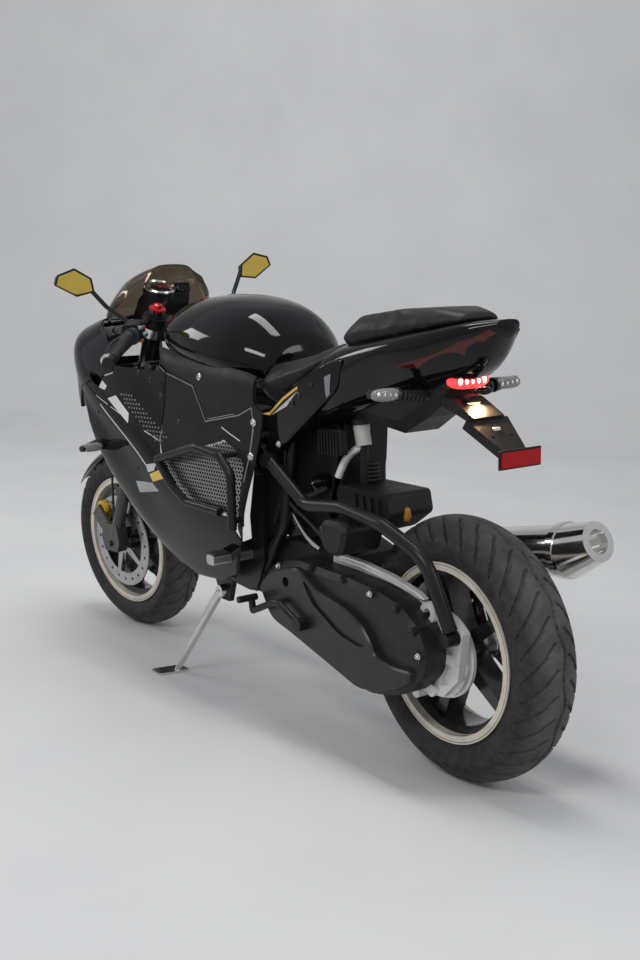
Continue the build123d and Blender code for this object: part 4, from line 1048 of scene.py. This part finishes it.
def make_mesh_panel(side, tag):
    """A sheet pierced by a lattice of round holes where the frame's grille is, over a near-black sheet of painted
    shade.
    """
    pitch, hole, depth = 10.0, 3.5, 3.0
    made = bmesh.new()
    corner = pitch / sqrt(3)
    for x, z in lattice(MESH_OUTLINE, pitch):
        rings = []
        for reach, count in ((corner, 6), (hole, 12)):
            turns = [2 * pi * k / count + pi / 6 for k in range(count)]
            rings.append([(x + reach * cos(t), z + reach * sin(t)) for t in turns])
        outer, inner = rings
        outer = [p for a, b in zip(outer, outer[1:] + outer[:1]) for p in (a, ((a[0] + b[0]) / 2, (a[1] + b[1]) / 2))]
        places = [point_on(body_tree, px, pz, side) for px, pz in outer + inner]
        if any(place is None for place, _ in places):
            continue
        verts = [made.verts.new(bike(*(place - normal * depth))) for place, normal in places]
        for k in range(12):
            made.faces.new((verts[k], verts[(k + 1) % 12], verts[12 + (k + 1) % 12], verts[12 + k]))
    bmesh.ops.remove_doubles(made, verts=made.verts, dist=0.0002)
    sheet = object_from(made, "mesh_panel")
    sheet.data.materials.append(FINISHES["grille_steel"])
    thick = sheet.modifiers.new("thick", 'SOLIDIFY')
    thick.thickness = 0.0014
    thick.offset = 0
    sheet = combine(apply_modifiers(sheet), prism(MESH_OUTLINE), 'INTERSECT')
    # Painted shade: a near-black sheet 18 mm behind the grille stands in for the dark inside seen through the holes.
    shade_sheet = lay_on("mesh_shade_sheet", MESH_OUTLINE, body_tree, side, -0.018, None)
    shade_sheet.data.materials.append(FINISHES["painted_shade_black"])
    panel = joined(f"mesh_panel_{tag}", [sheet, shade_sheet])
    smooth_by_angle(panel, 30)
    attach(panel, "chassis")
    if side > 0:
        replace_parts(panel, "side_grilles")


WHITE_MARK = [(1159, 731), (1118, 742), (1048, 700), (1050, 674)]
SILVER_LINE = [(1200, 712), (1149, 684), (1071, 643), (1001, 603), (962, 576)]
WHITE_WEDGE = [(962, 576), (911, 586), (922, 565), (952, 557)]
GOLD_MARK = [(945, 553), (897, 570), (877, 550), (930, 535)]
WHITE_FADE = [(1020, 526), (932, 532), (903, 514), (1005, 497)]
VENT_FIELD = [(1103, 746), (1043, 750), (870, 652), (915, 632), (982, 675)]
# Painted highlight: a silver line where the matte panel's crease catches the light.
CREASE_HIGHLIGHT = [(664, 697), (626, 684), (588, 672)]
# Painted highlight: grey lines along the knee panel's lower edge and down its front edge, where the edge catches the
# light.
KNEE_HIGHLIGHT = [(986, 850), (907, 812), (786, 787), (731, 705), (600, 731), (553, 752)]
LEG_HIGHLIGHT = [(553, 752), (546, 700), (548, 640), (556, 580)]
BODY_MARKS = (("white_mark", WHITE_MARK, "mark_white"), ("silver_line", band(SILVER_LINE, 5), "mark_silver"),
              ("white_wedge", WHITE_WEDGE, "mark_silver"), ("gold_mark", GOLD_MARK, "mark_gold"),
              ("white_fade", WHITE_FADE, "mark_dots"), ("crease_highlight", band(CREASE_HIGHLIGHT, 3), "mark_silver"),
              ("leg_edge_highlight", band(LEG_HIGHLIGHT, 4), "edge_grey"))
COVER_MARKS = (("seat_stripe", band([(520, 738), (462, 778), (404, 808)], 6), "mark_gold"),
               ("seat_white", [(512, 736), (404, 800), (448, 762)], "mark_silver"),
               ("tail_mark", [(302, 838), (278, 846), (284, 796), (296, 786)], "edge_grey"))
PANEL_SCREWS = ((841, 694), (926, 755), (977, 789), (1030, 806), (1220, 690), (1010, 560))
COVER_SCREWS = ((548, 718, 9, "machined_silver"), (544, 640, 9, "machined_silver"), (485, 672, 8, "machined_silver"),
                (400, 790, 8, "bolt_dark"), (428, 770, 8, "bolt_dark"), (352, 816, 5, "bolt_dark"))
MARK_LIFT = 0.0009
DOT_PITCH = 12.0


def make_vent_dots(side, tag):
    """Small raised dots on a lattice, where the vent is."""
    dots = bmesh.new()
    for x, z in lattice(VENT_FIELD, DOT_PITCH):
        place, normal = point_on(body_tree, x, z, side) if holds(VENT_FIELD, x, z) else (None, None)
        if place is None:
            continue
        spin = (PARKED.to_3x3() @ normal).to_track_quat('Z', 'Y').to_matrix().to_4x4()
        bmesh.ops.create_cone(dots, cap_ends=True, segments=10, radius1=0.0032, radius2=0.0026, depth=0.0024,
                              matrix=Matrix.Translation(bike(*place)) @ spin)
    wear(object_from(dots, f"vent_dots_{tag}"), "edge_grey")


def make_marks(side, tag):
    """One side's plain stripes, dotted vent, painted highlight lines along the crease and the knee panel's seams, and
    screws.
    """
    for name, outline, finish_name in BODY_MARKS:
        lay_on(f"{name}_{tag}", outline, body_tree, side, MARK_LIFT, finish_name)
    # A grey band on the knee panel's seam: painted highlight.
    lay_on(f"knee_edge_highlight_{tag}", band(KNEE_HIGHLIGHT, 3.2), seam_tree, side, MARK_LIFT, "edge_grey", step=3.0)
    make_vent_dots(side, tag)
    stud(f"knee_screw_{tag}", 761, 811, side, knee_tree, 9, "machined_silver", 4.0)
    for k, (x, z) in enumerate(PANEL_SCREWS):
        stud(f"panel_screw_{tag}_{k}", x, z, side, body_tree, 6, "bolt_dark", 2.5)
    for k, (x, z, radius, kind) in enumerate(COVER_SCREWS):
        stud(f"cover_screw_{tag}_{k}", x, z, side, cover_tree, radius, kind, 5)
    for name, outline, finish_name in COVER_MARKS:
        lay_on(f"{name}_{tag}", outline, cover_tree, side, MARK_LIFT, finish_name)


# ---------------------------------------------------------------- lamps, signals and the tail's small pieces
def blob(name, centre, halves, finish_name, body="chassis", power=2.0):
    """A rounded lens or boss: an ellipsoid with its own half sizes in millimetres."""
    made = bmesh.new()
    bmesh.ops.create_uvsphere(made, u_segments=32, v_segments=20, radius=1)
    for vert in made.verts:
        flat = Vector(abs(c) ** (2 / power) * (1 if c > 0 else -1) for c in vert.co)
        vert.co = bike(*(centre[k] + halves[k] * flat[k] for k in range(3)), body)
    obj = object_from(made, name)
    shade_smooth(obj.data)
    wear(obj, finish_name, body)


def block(name, outline, y_from, y_to, finish_name, edge):
    """A slab with rounded edges, its outline seen from the side."""
    obj = prism(outline, y_from, y_to, name)
    round_edges(obj, edge)
    smooth_by_angle(obj, 50)
    wear(obj, finish_name)


def make_tail_details():
    """The lit lamp, the lenses of the signals, the lamp over the plate, and the reflector's frame."""
    lamp_x, lamp_z = -4, 844
    block("tail_lamp_housing", [(lamp_x + 60, lamp_z + 12), (lamp_x, lamp_z + 24), (lamp_x - 8, lamp_z),
                                (lamp_x + 6, lamp_z - 22), (lamp_x + 64, lamp_z - 16)], -50, 50, "matte_black", 0.008)
    blob("tail_lamp_lens", (lamp_x, 0, lamp_z), (16, 54, 19), "lamp_lit", power=2.6)
    for k, y in enumerate((-32, -16, 0, 16, 32)):
        blob(f"tail_lamp_led_{k}", (lamp_x - 13, y, lamp_z), (5, 5, 9), "led_white")
    for side, tag in SIDES:
        blob(f"rear_signal_lens_{tag}", (54, side * 166, 821), (9, 36, 13), "signal_lens", power=2.6)
        for k in range(4):
            blob(f"rear_signal_led_{tag}_{k}", (48, side * (145 + k * 14), 820 + k), (4, 5, 5), "led_off")
        for k in range(6):
            turned(f"signal_rib_{tag}_{k}", [(9.2, 0), (11.5, 0), (11.5, 5), (9.2, 5)],
                   (60, side * (62 + k * 11), 808.5 + k * 1.2), (0, side, 0.13), "grip_rubber")
        blob(f"front_signal_lens_{tag}", (1186, side * 272, 600), (9, 30, 12), "signal_lens", power=2.6)
    blob("plate_lamp", (-16, 0, 806), (16, 22, 9), "matte_black", power=3.0)
    blob("plate_lamp_lens", (-18, 0, 799), (11, 16, 5), "lamp_warm", power=3.0)
    blob("rear_oval", (-50, 0, 824), (12, 20, 8), "gloss_black", power=2.4)
    block("reflector_frame", [(-150.6, 720), (-150.6, 682), (-155, 682), (-155, 720)], -56, 56, "matte_black", 0.001)
    area_light("plate_glow", bike(-40, 0, 800), bike(-60, 0, 750), (0.03, 0.02), 0.6, (1.0, 0.62, 0.32))


# ---------------------------------------------------------------- handlebar, dial and switches
BUTTONS = ((-12, 20, 12, "button_blue"), (-28, 16, 16, "button_red"), (-22, 2, 23, "button_blue"),
           (-10, -14, 20, "button_orange"), (-34, -6, 22, "bolt_dark"))
DIAL_CENTRE = Vector((1240, 22, 1000))
DIAL_AXIS = (-0.4, 0.05, 1)


def make_controls(side, tag):
    """One side's grip end and ribs, switch housing with its buttons, and the fork's coloured cap."""
    inner, outer = grip_ends(side)
    along = (outer - inner).normalized()
    lean_back = Vector((-0.35, 0, 1))
    up = (lean_back - along * along.dot(lean_back)).normalized()
    back = along.cross(up) * -side
    length = (outer - inner).length
    for name, profile, place, kind in (
            ("bar_end", [(0.01, 0), (13, 0), (15.5, 2), (15.5, 5), (12, 5.5), (12, 8), (15.5, 8.5), (15.5, 15),
                         (11, 18), (0.01, 18)], outer + along, "machined_silver"),
            ("grip_collar", [(16.6, 0), (23, 1), (23, 5), (18, 8)], inner + along * 6, "grip_rubber"),
            ("switch_housing", [(12, -42), (20, -40), (23, -30), (23, -8), (20, 0), (12, 2)], inner + along * 2,
             "satin_black")):
        turned(f"{name}_{tag}", profile, place, along, kind, "steering")
    for k in range(14):
        turned(f"grip_rib_{tag}_{k}", [(16.6, -1.6), (17.8, -0.8), (17.8, 0.8), (16.6, 1.6)],
               inner + along * (length * (0.20 + 0.055 * k)), along, "grip_rubber", "steering")
    for k, (run, lift, reach, kind) in enumerate(BUTTONS):
        blob(f"switch_button_{tag}_{k}", inner + along * run + up * lift + back * reach, (6.5, 6.5, 5), kind,
             "steering", 3.2)
    spots = steering_points("fork_tubes", side)
    top = max(p.dot(STEER_AXIS) for p in spots)
    centre = middle_of([p for p in spots if top - p.dot(STEER_AXIS) < 1.0])
    turned(f"fork_cap_{tag}", [(0.01, -1), (21, -1), (23, 1), (23, 6), (20, 9), (13, 10), (12, 16), (8, 18),
                               (0.01, 18)], centre, STEER_AXIS, "cap_red", "steering")


def make_dial():
    """A round dial with marks and a needle but no lettering, and a small display beside it."""
    for name, profile, kind, segments in (
            ("dial_housing", [(40, -26), (43, -10), (45.5, 10), (45.5, 20), (40, 20)], "satin_black", 40),
            ("dial_bezel", [(38, 17), (42, 17), (46, 18), (46.5, 21), (44, 24.5), (40.5, 24), (38, 20)],
             "bright_steel", 64),
            ("dial_face", [(0.01, 19), (39.5, 19)], "dial_face", 48),
            ("dial_hub", [(0.01, 19), (6, 19), (6, 23), (4, 24.5), (0.01, 24.5)], "cap_red", 40)):
        turned(name, profile, DIAL_CENTRE, DIAL_AXIS, kind, segments=segments)
    axis = Vector(DIAL_AXIS).normalized()
    right = axis.cross(Vector((1, 0, 0))).normalized()
    ahead = right.cross(axis)

    def hand(name, degrees, lift, reaches, radius, kind):
        turn = radians(degrees)
        out = ahead * cos(turn) + right * sin(turn)
        ends = [DIAL_CENTRE + axis * lift + out * r for r in reaches]
        tube(name, ends, radius, kind, sides=4, smooth=False)

    for k in range(21):
        hand(f"dial_mark_{k}", -130 + 13 * k, 19.8, (31 if k % 2 else 27, 35), 0.9, "mark_white")
    hand("dial_needle", -118, 21.5, (-7, 29), 1.1, "cap_red")
    block("display", [(1212, 1004), (1222, 1028), (1248, 1030), (1262, 1006)], -66, -24, "gloss_black", 0.004)


# ---------------------------------------------------------------- engine bay, drive and running gear
LEFTWARDS = (0, 1, 0)
CASE_BOSSES = [(452, 396), (330, 414), (214, 410), (112, 402), (32, 386), (-22, 352), (-42, 306)]
LOW_BOSSES = [(-38, 292), (-14, 254), (52, 226), (132, 198)]


def make_drive_details():
    """Screws, ribs, hoses and the dark boxes between the frame's rails."""
    for k, (x, z) in enumerate(CASE_BOSSES):
        bolt(f"case_bolt_{k}", (x, 166.5, z), LEFTWARDS, 7, 6, "bolt_dark" if k % 3 else "machined_silver")
    for k, (x, z) in enumerate(LOW_BOSSES):
        bolt(f"case_low_bolt_{k}", (x, 160, z), LEFTWARDS, 7, 6, "bolt_dark")
    block("cast_arm", [(336, 416), (332, 438), (226, 436), (128, 426), (48, 408), (20, 396), (48, 392), (128, 406),
                       (226, 418)], 80, 98, "cast_silver", 0.003)
    block("cast_arm_rib", [(318, 424), (314, 430), (226, 429), (128, 419), (60, 404), (128, 412), (226, 423)], 98, 103,
          "cast_silver", 0.002)
    for side in (1, -1):
        block(f"bay_plate_{side}", [(556, 706), (560, 476), (470, 440), (404, 468), (380, 560), (356, 640), (346, 722),
                                    (440, 740)], side * 62, side * 68, "satin_black", 0.002)
    block("heel_plate", [(640, 600), (560, 612), (500, 606), (496, 560), (540, 470), (600, 400), (660, 392),
                         (668, 470)], 100, 106, "satin_black", 0.003)
    block("heel_plate_edge", [(500, 606), (496, 560), (540, 470), (552, 474), (510, 562), (512, 606)], 106, 116,
          "matte_black", 0.002)
    block("bay_back", [(352, 560), (336, 640), (330, 726), (336, 726), (344, 640), (360, 560)], -61, 61, "matte_black",
          0.001)
    block("rectifier", [(392, 714), (310, 718), (306, 660), (390, 655)], 70, 92, "matte_black", 0.004)
    blob("small_white_plate", (-87, 0, 747), (4, 9, 8), "mark_white", power=6.0)
    for k in range(7):
        rear = 380 - k * 11
        block(f"rectifier_fin_{k}", [(rear + 4, 712), (rear, 712), (rear - 1, 660), (rear + 3, 660)], 92, 98,
              "matte_black", 0.0005)
    tube("bottle_neck", [(304, 30, 676), (322, 44, 668), (342, 58, 640), (352, 66, 604)], 9, "cast_silver")
    turned("bottle_cap", [(0.01, 0), (21, 0), (21, 12), (18, 15), (0.01, 15)], (312, 30, 724), (0.1, 0, 1),
           "grip_rubber")
    turned("carb_top", [(0.01, -14), (27, -14), (29, 0), (29, 8), (22, 14), (8, 17), (0.01, 17)], (400, 78, 590),
           (0.1, 0.35, 1), "gloss_black")
    for k in range(5):
        turned(f"boot_ring_{k}", [(14, -3), (19, -1.5), (19, 1.5), (14, 3)], (300 + k, 10, 600 + k * 9), (0.1, 0, 1),
               "grip_rubber")
    for name, points, radius, kind in (
            ("hose_a", [(540, 108, 610), (500, 112, 580), (452, 108, 556), (410, 100, 556), (372, 84, 580)], 6,
             "grip_rubber"),
            ("hose_b", [(540, 100, 560), (480, 104, 520), (430, 100, 500), (380, 96, 470), (350, 90, 440)], 5,
             "grip_rubber"),
            ("hose_c", [(520, 90, 520), (470, 96, 480), (420, 100, 450), (380, 98, 438)], 7, "bright_steel"),
            ("brake_line", [(60, -94, 360), (160, -100, 420), (300, -90, 430), (430, -60, 480)], 3.5, "grip_rubber")):
        tube(name, points, radius, kind)
    blob("drain_plug", (155, 30, 545), (8, 8, 16), "amber_plastic", power=2.6)
    bolt("intake_screw", (252, 186, 520), LEFTWARDS, 6, 4, "bolt_dark")
    for side, tag in SIDES:
        block(f"peg_rubber_{tag}", [(609, 400), (609, 406), (641, 406), (641, 400)], side * 141, side * 243,
              "grip_rubber", 0.002)
        for k in range(8):
            block(f"peg_rib_{tag}_{k}", [(611, 405), (611, 409), (639, 409), (639, 405)], side * (146 + k * 12),
                  side * (152 + k * 12), "grip_rubber", 0.001)
        tube(f"fork_hose_{tag}", [(1400, side * 100, 700), (1400, side * 108, 560), (1424, side * 104, 400),
                                  (1440, side * 96, 330)], 3.5, "grip_rubber", "steering")
    tube("stand_spring", [(792, 131, 258), (830, 140, 210), (850, 146, 180)], 5, "bright_steel", "side_stand")


knee_tree = surface_of(panels["knee_skins"])
cover_tree = surface_of(side_cover_skins)
seam_tree = surface_of(panels["knee_skins"], side_cover_skins)
for side, tag in SIDES:
    make_mesh_panel(side, tag)
    make_marks(side, tag)
    make_controls(side, tag)
make_dial()
make_tail_details()
make_drive_details()
